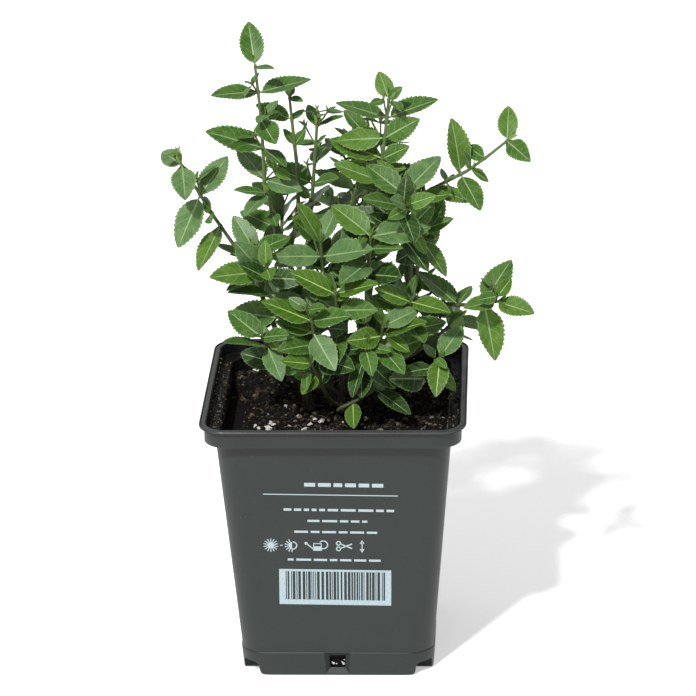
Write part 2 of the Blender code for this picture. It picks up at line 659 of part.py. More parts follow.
def in_space(point):
    """Leaves stay above the soil and outside the pot's rim."""
    inside = max(abs(point.x), abs(point.y)) < BODY_TOP_HALF - RIM_AIR
    return point.z > POT_HEIGHT + SOIL_AIR or (inside and point.z > SOIL_TOP + SOIL_AIR)


def blade_face(point, axis):
    """Blades look along their shoot, up, and away from the crown's middle."""
    away = point - CROWN_MIDDLE
    away.z = 0
    return axis * 0.35 + Vector((0, 0, 0.55)) + away.normalized() * 0.85


# What a leaf with no room tries in turn: its share of the length, then degrees round and along its twig
LEAF_TRIES = [
    (1, 0, 0), (1, 14, 0), (1, -14, 0), (1, 0, -16), (1, 0, 14), (0.95, 24, 8), (0.95, -24, 8),
    (0.9, 0, -28), (0.9, 32, -10), (0.9, -32, -10), (0.8, 0, 20), (0.8, 18, -20), (0.75, -16, 0),
]  # fmt: skip


def try_leaf(root, direction, face, length, crowd, owner):
    """The leaf if its space is free, or None."""
    frame = leaf_frame(root - direction * ROOT_DEPTH, direction, face)
    guard = leaf_guard(frame, length)
    if all(in_space(p) for p in guard) and crowd.free(guard, GUARD_FACES, owner):
        crowd.add(guard, GUARD_FACES, None)
        return Leaf(frame, length)
    return None


def place_leaf(root, axis, turn, opening, length, dice, crowd, owner):
    """One leaf, turned or shortened until it is clear, or None where there is no room."""
    side, up = across(axis)
    roll = dice.uniform(-ROLL_STRAY, ROLL_STRAY)
    for shrink, swing, lift in LEAF_TRIES:
        angle = math.radians(turn + swing)
        spread = math.radians(min(max(opening + lift, NARROWEST), WIDEST))
        radial = side * math.cos(angle) + up * math.sin(angle)
        direction = (axis * math.cos(spread) + radial * math.sin(spread)).normalized()
        face = Matrix.Rotation(math.radians(roll), 3, direction) @ blade_face(root, axis)
        leaf = try_leaf(root, direction, face, length * shrink, crowd, owner)
        if leaf:
            return leaf
    return None


def pair_root(line, pairs, number):
    """Where a pair of leaves stands on its twig, and which way the twig runs there.

    The pairs draw together towards the tip, and the last one stands just short of it.
    """
    share = ((number + 0.6) / (pairs - 0.4)) ** 0.85 if pairs > 1 else 1.0
    return point_at(line, min(share, 1.0) * 0.985)


def seen_direction(root, x, z, length, depth):
    """The direction from its root of a leaf whose tip is seen from EYE at this place of the plane y = 0."""
    sight = (Vector((x, 0.0, z)) - EYE).normalized()
    along = (root - EYE).dot(sight)
    gap = (EYE + sight * along - root).length
    shift = math.sqrt(max((length - ROOT_DEPTH) ** 2 - gap**2, 0.0))
    return (EYE + sight * (along + depth * shift) - root).normalized()


def grow_outer_leaves(name, shoot, line, crowd):
    """The leaves that follow the photo, which are placed before all others."""
    leaves = []
    for (owner, number, half), (x, z, length, depth, roll) in OUTER_LEAVES.items():
        if owner != name:
            continue
        root, axis = pair_root(line, shoot.pairs, number)
        direction = seen_direction(root, x, z, length, depth)
        face = Matrix.Rotation(math.radians(roll), 3, direction) @ OUTER_FACE
        leaf = try_leaf(root, direction, face, length, crowd, name)
        if leaf:
            leaves.append(leaf)
    return leaves


def grow_twig(line, pairs, turn, longest, youngest, dice, crowd, owner, placed=()):
    """The pairs of leaves along one twig, each pair square to the last, smaller and steeper to the tip."""
    leaves = []
    for number in range(pairs):
        root, axis = pair_root(line, pairs, number)
        nearness = number / max(pairs - 1, 1)
        opening = OPENING - TIP_CLOSING * nearness**2 + dice.uniform(-OPENING_STRAY, OPENING_STRAY)
        length = longest + (youngest - longest) * nearness**2
        spin = turn + PAIR_TURN * number + dice.uniform(-TURN_STRAY, TURN_STRAY)
        for half in (0, 1):
            size = length * dice.uniform(*SIZE_STRAY)
            place = root + axis * ROOT_DEPTH * (half - 0.5)
            if (number, half) in placed:
                continue
            leaf = place_leaf(place, axis, spin + 180 * half, opening, size, dice, crowd, owner)
            if leaf:
                leaves.append(leaf)
    return leaves


def side_twig_line(start, axis, turn, reach):
    """A side twig that leaves its shoot at a slant and bends up towards the light."""
    side, up = across(axis)
    radial = side * math.cos(math.radians(turn)) + up * math.sin(math.radians(turn))
    heading = (radial + axis * 0.8 + Vector((0, 0, 0.35))).normalized()
    return [start, start + heading * reach * 0.5, start + heading * reach + Vector((0, 0, 0.1 * reach))]


def grow_shoot(name, shoot, number, crowd, twigs):
    """The rest of a mass's leaves, and its side twigs, by a seeded rule."""
    dice = random.Random(PLANT_SEED + number)
    main = twigs[name][0]
    placed = [(pair, half) for owner, pair, half in (*OUTER_LEAVES, *BARE_PLACES) if owner == name]
    young = shoot.leaf * YOUNG_LEAF
    leaves = grow_twig(main.line, shoot.pairs, shoot.turn, shoot.leaf, young, dice, crowd, name, placed)
    for order in range(shoot.pairs - 1):
        start, axis = point_at(main.line, (order + 0.45) / shoot.pairs)
        for half in range(shoot.twigs):
            turn = shoot.turn + PAIR_TURN * (order + 0.5) + 180 * half
            turn += dice.uniform(-TWIG_TURN, TWIG_TURN)
            line = side_twig_line(start, axis, turn, dice.uniform(*TWIG_REACH))
            longest = shoot.leaf * TWIG_LEAF * dice.uniform(0.92, 1.08)
            free_line = [line[0].lerp(line[1], 0.45), line[1], line[2]]
            points, faces = solid_shape(free_line, [TWIG_RADIUS + GAP] * len(line), TWIG_SIDES)
            if not in_space(line[-1]) or not crowd.free(points, faces, name):
                continue
            grown = grow_twig(line, 2, turn, longest, longest * YOUNG_TWIG_LEAF, dice, crowd, name)
            if grown:
                crowd.add(points, faces, name)
                twigs[name].append(Twig(line, taper(TWIG_RADIUS, TWIG_RADIUS * 0.8, len(line))))
                leaves += grown
    return leaves


def solid_shape(line, radii, sides):
    """A tube's points and faces, for the crowd."""
    bm = bmesh.new()
    add_tube(bm, line, radii, sides)
    bm.verts.index_update()
    points = [v.co.copy() for v in bm.verts]
    faces = [[v.index for v in f.verts] for f in bm.faces]
    bm.free()
    return points, faces


def main_twig(shoot, stem_line):
    """A shoot's own stem, which leaves its limb's tip straight on and then bows up a little."""
    foot, apex = Vector(shoot.foot), Vector(shoot.apex)
    reach = (apex - foot).length
    middle = foot.lerp(apex, 0.5) - Vector((0, 0, 0.03 * reach))
    given = [foot, middle, apex]
    if shoot.share == 1.0:
        lead = (stem_line[-1] - stem_line[-2]).normalized()
        given = [foot + lead * GAP, foot + lead * 0.12 * reach, foot.lerp(apex, 0.55), apex]
    line = smooth_line(given, 2)
    return Twig(line, taper(SHOOT_RADIUS, SHOOT_TIP_RADIUS, len(line)))


def keep_largest_shell(mesh):
    """Drops loose scraps, and fills any hollow that the fusing sealed."""
    bm = bmesh.new()
    bm.from_mesh(mesh)
    left = set(bm.verts)
    shells = []
    while left:
        shell = set()
        edge = [left.pop()]
        while edge:
            vert = edge.pop()
            shell.add(vert)
            for line in vert.link_edges:
                other = line.other_vert(vert)
                if other in left:
                    left.discard(other)
                    edge.append(other)
        shells.append(shell)
    shells.sort(key=len)
    spare = [vert for shell in shells[:-1] for vert in shell]
    bmesh.ops.delete(bm, geom=spare, context="VERTS")
    bm.to_mesh(mesh)
    bm.free()


def join_mass(name, twigs, leaves, material):
    """Fuses a mass's leaves and side twigs onto its main twig."""
    group = bpy.data.collections.new(name + "_parts")
    bpy.context.scene.collection.children.link(group)
    bm = bmesh.new()
    add_tube(bm, twigs[0].line, twigs[0].radii, TWIG_SIDES)
    mass = add_object(name, bm, material)
    for twig in twigs[1:]:
        bm = bmesh.new()
        add_tube(bm, twig.line, twig.radii, TWIG_SIDES)
        add_object("side_twig", bm, None, group)
    for leaf in leaves:
        bm = bmesh.new()
        corners = leaf_points(leaf.length, LEAF_WIDTH * leaf.length, LEAF_THICK * leaf.length)
        verts = [bm.verts.new(leaf.frame @ Vector(p)) for p in corners]
        for face in LEAF_FACES:
            bm.faces.new([verts[i] for i in face])
        add_object("leaf", bm, None, group)
    union = mass.modifiers.new("fuse", "BOOLEAN")
    union.operation = "UNION"
    union.operand_type = "COLLECTION"
    union.collection = group
    apply_modifiers(mass)
    keep_largest_shell(mass.data)
    for thing in list(group.objects):
        bpy.data.objects.remove(thing)
    bpy.data.collections.remove(group)
    return mass


def make_plant():
    """Stems and boughs first, then the leaves in the space that they leave, and last the joined masses."""
    bark = plain_material("old_bark", "#4a3a2c", 0.85)
    green_bark = plain_material("green_bark", "#6a7a45", 0.6)
    foliage = plain_material("foliage", "#3f6b34", 0.45)
    crowd = Crowd()
    stem_lines = {}
    for name, points in STEMS.items():
        line = smooth_line(points, STEM_STEPS)
        stem_lines[name] = line
        line = flat_foot(line)
        radii = stem_radii(line)
        crowd.add(*solid_shape(line, radii, STEM_SIDES), name)
        bm = bmesh.new()
        add_tube(bm, line, radii, STEM_SIDES)
        add_object(name, bm, bark)
    twigs = {}
    for name, shoot in SHOOTS.items():
        twigs[name] = [main_twig(shoot, stem_lines[shoot.stem])]
        crowd.add(*solid_shape(twigs[name][0].line, twigs[name][0].radii, TWIG_SIDES), name)
        if shoot.share == 1.0:
            continue
        stem_radius = STEM_RADIUS + (STEM_TIP_RADIUS - STEM_RADIUS) * shoot.share
        line = bough_line(stem_lines[shoot.stem], shoot, stem_radius)
        radii = taper(BOUGH_RADIUS, BOUGH_TIP_RADIUS, len(line))
        crowd.add(*solid_shape(line, radii, BOUGH_SIDES), name + "_bough")
        bm = bmesh.new()
        add_tube(bm, line, radii, BOUGH_SIDES)
        add_object(name + "_bough", bm, green_bark)
    outer = {}
    for name, shoot in SHOOTS.items():
        outer[name] = grow_outer_leaves(name, shoot, twigs[name][0].line, crowd)
    count = 0
    for number, (name, shoot) in enumerate(SHOOTS.items()):
        leaves = outer[name] + grow_shoot(name, shoot, number, crowd, twigs)
        join_mass(name, twigs[name], leaves, foliage)
        count += len(leaves)
    return count


clear_scene()
make_pot()
make_soil()
print("leaves:", make_plant())
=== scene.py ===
# The looks of a wintercreeper euonymus, a small evergreen shrub, in its square nursery pot.
# Lengths are in millimetres, except as said, and MM turns them to metres.
# The origin is the middle of the pot's flat underside, +Z is up and -Y is the front.

import math
import random
from collections import namedtuple
from functools import partial

import bmesh
import bpy
from mathutils import Matrix, Vector, noise
from mathutils.bvhtree import BVHTree


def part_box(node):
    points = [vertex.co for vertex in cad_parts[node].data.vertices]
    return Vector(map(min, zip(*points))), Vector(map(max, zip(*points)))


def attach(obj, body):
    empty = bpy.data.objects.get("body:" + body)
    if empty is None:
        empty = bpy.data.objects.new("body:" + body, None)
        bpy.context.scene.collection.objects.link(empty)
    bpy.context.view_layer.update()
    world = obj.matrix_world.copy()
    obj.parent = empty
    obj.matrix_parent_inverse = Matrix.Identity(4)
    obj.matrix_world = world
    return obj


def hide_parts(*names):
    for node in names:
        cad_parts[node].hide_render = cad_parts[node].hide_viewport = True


MM = 0.001
GAP = 0.3  # clearance that the construction keeps between neighbouring solids

# Camera, worked out from the pot's rim and foot in the photograph
CAMERA_PLACE = (60.3, -1216.3, 563.7)
CAMERA_RISE, CAMERA_TURN, CAMERA_ROLL = 20.51, 2.65, -1.01  # degrees
PHOTO_SIDE = 696  # pixels
FOCUS = 3791.0  # focal length in pixels of the photograph
SENSOR = 36.0

# Pot
POT_HEIGHT = 95.0
FLANGE_HALF = 45.0  # half the width over the flange
FLANGE_THICK = 0.7
FLANGE_RING = 1.6  # width of the flat ring on top of the flange
BAND_HALF = 43.3  # the upright band under the flange
BAND_FOOT = 89.2
BAND_LOW = 88.4  # the foot of the band's outer face
BODY_TOP_HALF = 39.9
BODY_FOOT_HALF = 32.4
WALL = 1.3
FLOOR_THICK = 1.4
CORNER_TOP = 8.0  # corner radius at the rim
CORNER_FOOT = 8.3
CORNER_FLANGE = 9.0
CORNER_STEPS = 8
PANEL_TOP = 8.9  # height of the proud panel at the foot of each side
PANEL_PROUD = 0.38
NOTCH_HALF = 26.9  # the raised corners begin here
NOTCH_TOP = 4.6
NOTCH_INSIDE = 20.0  # every face of a raised corner is further out than this
WINDOW_MOUTH = (4.2, 0.5, 8.6)  # half the drain window's width, its foot and its top, on the outside
WINDOW_THROAT = (2.6, 2.3, 6.8)  # the same on the inside
WINDOW_DEPTH = 2.2
WINDOW_DRAWN = 2.2  # how far its cutter is drawn on to the outside, as a share of the wall
DRAIN_RADIUS = 3.0
DRAIN_RING = 17.0
CUTTER_FAR = 60.0  # outside the pot on every side

# Soil
SOIL_TOP = 86.5
SOIL_CLEAR = 0.15
SOIL_EDGE_DROP = 1.3
GAP_SIDE, GAP_BACK, GAP_DEPTH = -31.4, 26.0, 7.0  # where the soil has shrunk from the left wall
GAP_RAMPS = (0.9, 12.0)  # how far the soil takes to sink there, across and along the wall
SOIL_GRID = 96  # faces along each side of its lumpy top
SOIL_LUMPS = ((1.1, 0.11, 3), (0.8, 0.35, 8), (0.35, 1.1, 1))  # their rise, how close they lie, a seed
SKIRT = 7.0  # how deep the lumpy top reaches along the wall
BLOCK_TOP = 82.0  # the top of the plain block below
CRUMBS = 5200
CRUMB_SIZE, CRUMB_MORE, CRUMB_SKEW = 0.3, 0.9, 2.2  # the least, what the largest adds, how rare it is
PERLITE = 75
PERLITE_SIZES = (0.25, 0.8)
FIBRES = 90
FIBRE_REACH = (2, 7)
FIBRE_BEND = 0.5  # radians at each of its steps, at most
FIBRE_STEPS = 5
FIBRE_RADIUS, FIBRE_TIP_RADIUS = 0.16, 0.06
WALL_SPECKS = 1300
SPECK_SIZES = (0.12, 0.45)
SPECK_FOOT, SPECK_RISE, SPECK_SKEW = 0.3, 7.5, 1.6  # their height above the soil, given in the same way
LEDGE_SHARE = 0.5  # of the specks, on the ledge at the band's foot
DUSTY_SIDES = (0, 1, 1, 1, 2, 3, 3)  # back, left, front and right, each as often as it takes its share
CRUMB_LOOKS = (0, 0, 1, 1, 1, 1, 1, 1, 1, 2)  # brown, dark and pale, in the same way

# Plant
STEM_RADIUS = 1.5
STEM_TIP_RADIUS = 0.95
FLARE = 1.7  # a stem's radius at the soil, as a multiple
FLARE_HEIGHT = 5.0
STEM_SIDES = 8
STEM_STEPS = 2
BOUGH_SIDES = 5
BOUGH_STEPS = 5
BOUGH_RADIUS = 0.85
BOUGH_TIP_RADIUS = 0.65
BOUGH_RISE = 0.55
SHOOT_RADIUS = 0.75
SHOOT_TIP_RADIUS = 0.5
TWIG_RADIUS = 0.5
TWIG_SIDES = 3
TWIG_REACH = (7.0, 11.0)
TWIG_TURN = 25.0
YOUNG_LEAF = 0.72
YOUNG_TWIG_LEAF = 0.75
TWIG_LEAF = 0.8
ROOT_DEPTH = 0.15

# The space that a leaf keeps to, in shares of its length
LEAF_WIDTH = 0.52
LEAF_THICK = 0.04
LEAF_FOLD = 0.07
LEAF_WIDEST = 0.36
LEAF_SHOULDER = 0.68
SHOULDER_WIDTH = 0.74
SHOULDER_FOLD = 0.7
TIP_DROP = 0.5
LEAF_CLEAR = 0.2
GUARD_START = 0.1

# How leaves stand: degrees, and how far each may stray by chance
OPENING = 78.0
TIP_CLOSING = 30.0
OPENING_STRAY = 8.0
PAIR_TURN = 90.0
TURN_STRAY = 10.0
ROLL_STRAY = 12.0
SIZE_STRAY = (0.9, 1.04)
NARROWEST, WIDEST = 12.0, 105.0
SOIL_AIR = 2.5
RIM_AIR = 3.0
CROWN_MIDDLE = Vector((6.0, 26.0, 0.0))
OUTER_FACE = Vector((0.0, -0.6, 0.8))
EYE = Vector(CAMERA_PLACE)
AWAY, NEAR = 1, -1
PLANT_SEED = 41

# Finer growth, which the construction leaves out
FINE_SEED = 7
SPRIG_CHANCE = 0.35
SPRIG_REACH = (3.5, 6.5)
SPRIG_LEAF = (6.0, 10.0)
SPRIG_RADIUS = 0.36
TIP_LEAF = (3.6, 5.6)  # the folded young pair at a twig's tip
BUD = 0.55  # half the length of a bud in a leaf's axil

# The leaf's own shape, in shares of its length
STALK = 0.09  # length of its stalk
STALK_HALF = 0.018  # half the stalk's width
BLADE_ROWS = 7  # rows of faces, of which the first is the stalk
TEETH = 12  # on each side
TOOTH_TIP = 0.7  # how far along its pitch a tooth's tip stands
TOOTH = 0.021
MIDRIB_HALF = 0.0185
BLADE_THICK = 0.022
PUCKER = 0.006  # rise of the blade between its veins
WAVES = 2.2  # along a margin
WAVE_LAG = 1.3  # between the two margins, in radians
MARGIN_STEPS = 2 * TEETH // (BLADE_ROWS - 1)  # points of the margin to each row of faces

# How a leaf is bent, by chance between two values. A folded one is at a twig's tip, and has the age FOLDED
FOLDED = 2.0
FOLD, TIP_FOLD = (0.16, 0.36), (0.5, 0.9)  # how steeply the halves rise from the midrib
SLENDER, TIP_SLENDER = (0.92, 1.06), (0.5, 0.62)  # share of the usual width
ARCH = (0.02, 0.07)  # how low the tip hangs
TWIST = (-9, 9)  # degrees from root to tip
SICKLE = (-0.03, 0.03)  # how far the tip bends sideways
CURL = (0.0, 0.25)  # how far the margins turn down
WAVE_RISE = (0.002, 0.008)
TIP_SPREAD = (14, 38)  # degrees between a folded leaf and its twig

# Each stem: its foot on the soil, then the points that its leaning line passes
STEMS = {
    "stem_left": [(-9, -3, SOIL_TOP), (-13, -4, 100), (-20, -5, 116), (-26, -4, 132)],
    "stem_tall": [(-2, 6, SOIL_TOP), (-6, 7, 104), (-14, 7, 130), (-22, 7, 158)],
    "stem_middle": [(7, 2, SOIL_TOP), (9, 3, 108), (12, 2, 130), (14, 3, 152)],
    "stem_right": [(14, 5, SOIL_TOP), (18, 4, 102), (24, 3, 126), (29, 3, 158)],
    "stem_back": [(4, 15, SOIL_TOP), (2, 19, 104), (3, 25, 122), (4, 29, 142)],
    "stem_front": [(2, -7, SOIL_TOP), (2, -10, 97), (3, -13, 107), (2, -15, 115)],
}

# Each leafy shoot: the stem that carries it, how far up that stem its bough leaves, the points where
# it begins and ends, its pairs of leaves, the turn of the first pair, its longest leaf and its side twigs
# at each joint
Shoot = namedtuple("Shoot", "stem share foot apex pairs turn leaf twigs")
SHOOTS = {
    "tall_left": Shoot("stem_tall", 1.0, (-22, 7, 158), (-26, 8, 207), 5, 0, 19, 0),
    "left_reach": Shoot("stem_left", 1.0, (-26, -4, 132), (-51, -4, 176), 4, 80, 19, 0),
    "top_right": Shoot("stem_middle", 1.0, (14, 3, 152), (19, 6, 196), 6, 30, 19, 0),
    "right_reach": Shoot("stem_right", 1.0, (29, 3, 158), (59, 2, 182), 4, 80, 19, 0),
    "back_top": Shoot("stem_back", 1.0, (4, 29, 142), (10, 33, 175), 5, 20, 18, 2),
    "front_middle": Shoot("stem_front", 1.0, (2, -15, 115), (1, -22, 136), 3, -85, 18, 2),
    "tall_front": Shoot("stem_tall", 0.85, (-20, -1, 152), (-22, -5, 166), 2, 40, 17, 0),
    "fork_back": Shoot("stem_tall", 0.62, (-9, 16, 148), (-6, 17, 183), 5, 40, 17, 0),
    "low_right": Shoot("stem_right", 0.34, (38, 3, 123), (55, -11, 129), 4, 5, 20, 0),
    "left_middle": Shoot("stem_left", 0.5, (-16, -12, 117), (-26, -15, 149), 4, -40, 20, 2),
    "left_front": Shoot("stem_left", 0.25, (-17, -12, 104), (-24, -21, 120), 4, -5, 17, 1),
    "centre_left": Shoot("stem_tall", 0.4, (-3, -4, 128), (-4, -13, 151), 4, -8, 20, 2),
    "centre": Shoot("stem_middle", 0.5, (11, -6, 133), (13, -15, 154), 4, 50, 21, 2),
    "upper_middle": Shoot("stem_middle", 0.8, (20, -2, 147), (24, -9, 167), 4, 40, 20, 2),
    "low_front_left": Shoot("stem_front", 0.3, (-5, -15, 107), (-7, -24, 127), 4, 10, 19, 2),
    "front_small": Shoot("stem_front", 0.12, (-3, -17, 98), (-7, -28, 113), 3, 90, 13, 0),
    "front_right": Shoot("stem_middle", 0.22, (14, -14, 108), (17, -24, 125), 4, -20, 16, 2),
    "middle_right": Shoot("stem_right", 0.24, (23, -9, 114), (26, -16, 131), 4, 20, 17, 2),
    "right_front": Shoot("stem_right", 0.1, (29, -10, 98), (36, -19, 112), 3, 10, 17, 0),
    "right_side": Shoot("stem_right", 0.56, (28, 3, 137), (30, 0, 151), 4, 30, 18, 2),
    "foot_right": Shoot("stem_front", 0.55, (9, -16, 104), (11, -26, 118), 3, 100, 14, 2),
    "back_left": Shoot("stem_tall", 0.5, (-20, 18, 130), (-19, 26, 151), 5, 10, 19, 2),
    "back_left_low": Shoot("stem_back", 0.2, (-12, 24, 104), (-27, 36, 119), 5, 50, 19, 2),
    "back_right": Shoot("stem_right", 0.66, (33, 14, 142), (30, 27, 150), 4, 0, 19, 1),
    "back_right_low": Shoot("stem_back", 0.32, (17, 25, 109), (30, 38, 120), 5, 70, 19, 1),
    "back_middle": Shoot("stem_back", 0.66, (6, 36, 134), (9, 46, 152), 4, 80, 19, 2),
    "right_low": Shoot("stem_right", 0.18, (28, 12, 103), (41, 15, 113), 4, 20, 18, 1),
    "foot_low": Shoot("stem_front", 0.05, (3, -19, 94), (14, -18, 100), 3, 20, 10, 0),
    "tall_back": Shoot("stem_tall", 0.74, (-13, 14, 170), (-15, 14, 194), 3, 0, 13, 0),
}

# The leaves' greens, from dark to fresh. The dark green is a painted shade, and the bluish green a painted
# sheen, paler and greyer where light reflects
TINTS = 5
DARK, MID, BLUISH, OLIVE, FRESH = range(TINTS)
TINT_LIMITS = (0.0, 0.22, 0.36, 0.6)

# The leaves that follow the photo, by shoot: pair and side, then where the tip is seen against the upright
# plane through the pot's middle (x, z), the length, whether the leaf runs away from the eye or nearer to
# it, the turn about its own midrib, and its green
# Their greens paint light: the bluish green is a painted sheen on leaves that catch the light, and the dark
# green a painted shade on low leaves at the foot
OUTER_LEAVES = {
    "tall_left": [
        (4, 0, -27.5, 224.5, 17, AWAY, 0, MID), (4, 1, -19, 208, 8, NEAR, -25, MID),
        (3, 0, -40.5, 199.5, 16.5, NEAR, 15, MID), (3, 1, -6.5, 204.5, 19.5, AWAY, -20, MID),
        (2, 0, -17.5, 193.5, 9, AWAY, 5, MID), (2, 1, -19.5, 181.5, 15, NEAR, 5, MID),
        (1, 0, -42.5, 186.5, 20.5, NEAR, 10, MID), (1, 1, -16, 174, 14, NEAR, -20, MID),
        (0, 0, -31.5, 181, 18, AWAY, 20, BLUISH), (0, 1, -10.5, 165, 14, NEAR, 0, BLUISH),
    ],
    "tall_front": [
        (1, 0, -30.5, 156.5, 13, NEAR, 20, BLUISH), (1, 1, -33.5, 165.5, 12.5, NEAR, 25, MID),
        (0, 1, -19.5, 152.5, 9, NEAR, 0, MID),
    ],
    "fork_back": [
        (4, 0, -8, 195.5, 9.5, AWAY, 15, MID), (4, 1, 4, 191.5, 11, NEAR, -30, MID),
        (3, 0, -12.5, 182, 8, AWAY, 20, MID), (3, 1, -2, 185, 6, NEAR, -25, MID),
        (1, 1, 1.5, 169.5, 13, NEAR, 0, MID),
    ],
    "left_reach": [
        (3, 0, -57.5, 179.5, 14.5, AWAY, -20, BLUISH), (3, 1, -50, 162, 16, NEAR, 0, BLUISH),
        (2, 0, -35.5, 177.5, 17, AWAY, -5, BLUISH), (2, 1, -53.5, 144.5, 19.5, NEAR, 15, BLUISH),
        (1, 1, -46.5, 136.5, 18, NEAR, 30, OLIVE), (0, 0, -40.5, 146.5, 12, AWAY, 35, OLIVE),
    ],
    "top_right": [
        (5, 0, 16, 207, 12, AWAY, -5, OLIVE), (5, 1, 23.5, 201.5, 7.5, NEAR, 25, MID),
        (4, 0, 1.5, 197, 19, AWAY, 25, MID), (4, 1, 35.5, 197.5, 19, AWAY, -20, MID),
        (3, 0, 1, 183, 17.5, AWAY, -5, OLIVE), (3, 1, 29, 190.5, 15, NEAR, 30, MID),
        (2, 0, -1, 184, 20.5, AWAY, 10, FRESH), (2, 1, 25.5, 180.5, 12, NEAR, 30, MID),
    ],
    "back_top": [
        (4, 0, 4, 193.5, 12, AWAY, 15, MID),
    ],
    "right_reach": [
        (3, 0, 59.5, 195, 14, AWAY, 0, OLIVE), (3, 1, 66.5, 175.5, 14, NEAR, 20, MID),
        (1, 0, 40.5, 190.5, 19.6, NEAR, 30, OLIVE), (1, 1, 50, 158, 16, NEAR, -15, MID),
        (2, 0, 45, 180.5, 10.5, AWAY, -40, MID), (0, 0, 46.5, 161.5, 14, NEAR, -10, OLIVE),
    ],
    "low_right": [
        (3, 0, 68, 121, 15, NEAR, 0, OLIVE), (3, 1, 44, 123, 13, NEAR, 0, OLIVE),
        (2, 0, 59.5, 140.5, 19, AWAY, -15, MID), (2, 1, 54.5, 103, 20, NEAR, -25, OLIVE),
        (0, 0, 28.5, 136.5, 19, AWAY, 25, MID), (0, 1, 46.5, 131, 11, AWAY, -25, MID),
    ],
    "left_middle": [
        (3, 0, -34, 156.5, 15, AWAY, 0, BLUISH), (3, 1, -15, 149, 14, AWAY, 0, MID),
        (2, 0, -33.5, 146.5, 19, NEAR, -40, BLUISH), (2, 1, -42.5, 134.5, 19, NEAR, 0, OLIVE),
        (1, 0, -8.5, 120, 17, NEAR, 0, BLUISH), (1, 1, -36.5, 129, 16, NEAR, 25, MID),
    ],
    "centre_left": [
        (3, 0, -12, 161, 16.5, NEAR, 35, OLIVE), (3, 1, 1.5, 160, 15.5, AWAY, -20, BLUISH),
        (2, 0, -22, 142, 18, NEAR, 0, BLUISH), (2, 1, 13, 144, 20, NEAR, 0, BLUISH),
    ],
    "centre": [
        (3, 0, -0.5, 160.5, 19, AWAY, 0, OLIVE), (3, 1, 33, 152.5, 21.5, AWAY, 0, BLUISH),
        (2, 0, 23, 144.5, 13, NEAR, -10, MID),
    ],
    "upper_middle": [
        (3, 0, 36.5, 177.5, 20, AWAY, -10, BLUISH), (3, 1, 11, 174, 17, AWAY, 0, MID),
        (2, 0, 10, 162.5, 16, NEAR, 10, MID),
    ],
    "right_side": [
        (3, 0, 36.5, 161.5, 12.5, NEAR, -15, MID), (3, 1, 40.5, 155, 11.5, NEAR, 0, MID),
        (2, 0, 38, 134.5, 16, NEAR, -25, MID), (2, 1, 34.5, 148, 9, NEAR, 0, MID),
    ],
    "front_middle": [
        (2, 0, -15, 136, 17.5, NEAR, 0, FRESH), (2, 1, 14.5, 132, 15.5, NEAR, -15, FRESH),
    ],
    "low_front_left": [
        (3, 0, -25, 126, 18.5, NEAR, 10, FRESH), (3, 1, 5, 120.5, 15.5, NEAR, 0, MID),
        (2, 0, -21, 118, 14, AWAY, 5, MID), (2, 1, -1, 100, 16.5, NEAR, 10, BLUISH),
    ],
    "front_right": [
        (3, 0, 10.5, 130, 15, AWAY, 50, OLIVE), (3, 1, 28.5, 123, 14.5, AWAY, 0, BLUISH),
        (2, 0, 4, 110.5, 15, NEAR, -35, FRESH), (2, 1, 31, 118.5, 17, NEAR, -25, FRESH),
    ],
    "middle_right": [
        (3, 0, 13.5, 130, 14, NEAR, 0, FRESH), (3, 1, 39, 121.5, 15.5, NEAR, -10, FRESH),
        (2, 0, 27, 135, 13, AWAY, -55, MID),
    ],
    "left_front": [
        (3, 0, -37, 122, 16, AWAY, 0, MID), (3, 1, -16.5, 113.5, 12, NEAR, 0, MID),
        (2, 0, -39, 111, 18.5, NEAR, 35, MID), (2, 1, -19, 96.5, 14.5, NEAR, 0, BLUISH),
    ],
    # The dark green on this shoot's low leaf is a painted shade
    "right_front": [
        (2, 0, 43, 116.5, 15, AWAY, 0, BLUISH), (2, 1, 34, 90.5, 15, NEAR, 0, FRESH),
        (1, 0, 41, 92.5, 11, NEAR, 0, MID), (1, 1, 23, 99.5, 12, NEAR, 0, DARK),
    ],
    # The dark greens on these leaves at the foot are painted shade
    "foot_right": [
        (2, 0, 12.5, 98.5, 12.5, NEAR, -5, MID), (2, 1, 1.5, 107.5, 10, AWAY, 0, DARK),
        (1, 0, 5, 90, 14.5, NEAR, 40, DARK), (1, 1, 20.5, 93.5, 15.5, AWAY, 0, DARK),
    ],
    "front_small": [
        (2, 0, -19, 104, 11.5, NEAR, 0, FRESH), (1, 0, -12, 91.5, 10, NEAR, 0, FRESH),
    ],
    # The dark green on the second leaf is a painted shade
    "foot_low": [
        (0, 0, 5.5, 78.5, 11.2, NEAR, 20, FRESH), (2, 0, 25.5, 84, 15.2, NEAR, -20, DARK),
    ],
    "tall_back": [
        (2, 0, -13.5, 203, 7, AWAY, 0, MID), (2, 1, -9.5, 196.5, 6, NEAR, -5, MID),
        (1, 0, -25.5, 196, 13.5, AWAY, 0, MID), (1, 1, -9.5, 194, 7, AWAY, -15, MID),
        (0, 0, -16.5, 187, 7, AWAY, 20, MID), (0, 1, -9, 186.5, 7.4, NEAR, 20, MID),
    ],
}

# The places on the shoots, by pair and side, that carry no leaf
BARE_PLACES = {
    "left_reach": [(1, 0), (0, 1)], "right_reach": [(2, 1), (0, 1)], "tall_front": [(0, 0)],
    "upper_middle": [(0, 1)], "right_front": [(0, 1)], "right_low": [(1, 1)],
    "back_right": [(2, 1), (0, 0)], "low_right": [(1, 1), (1, 0)], "back_right_low": [(4, 0), (4, 1)],
    "foot_low": [(0, 1), (1, 1)], "front_small": [(0, 1)], "fork_back": [(2, 1)], "left_front": [(1, 1)],
    "right_side": [(0, 1)],
}

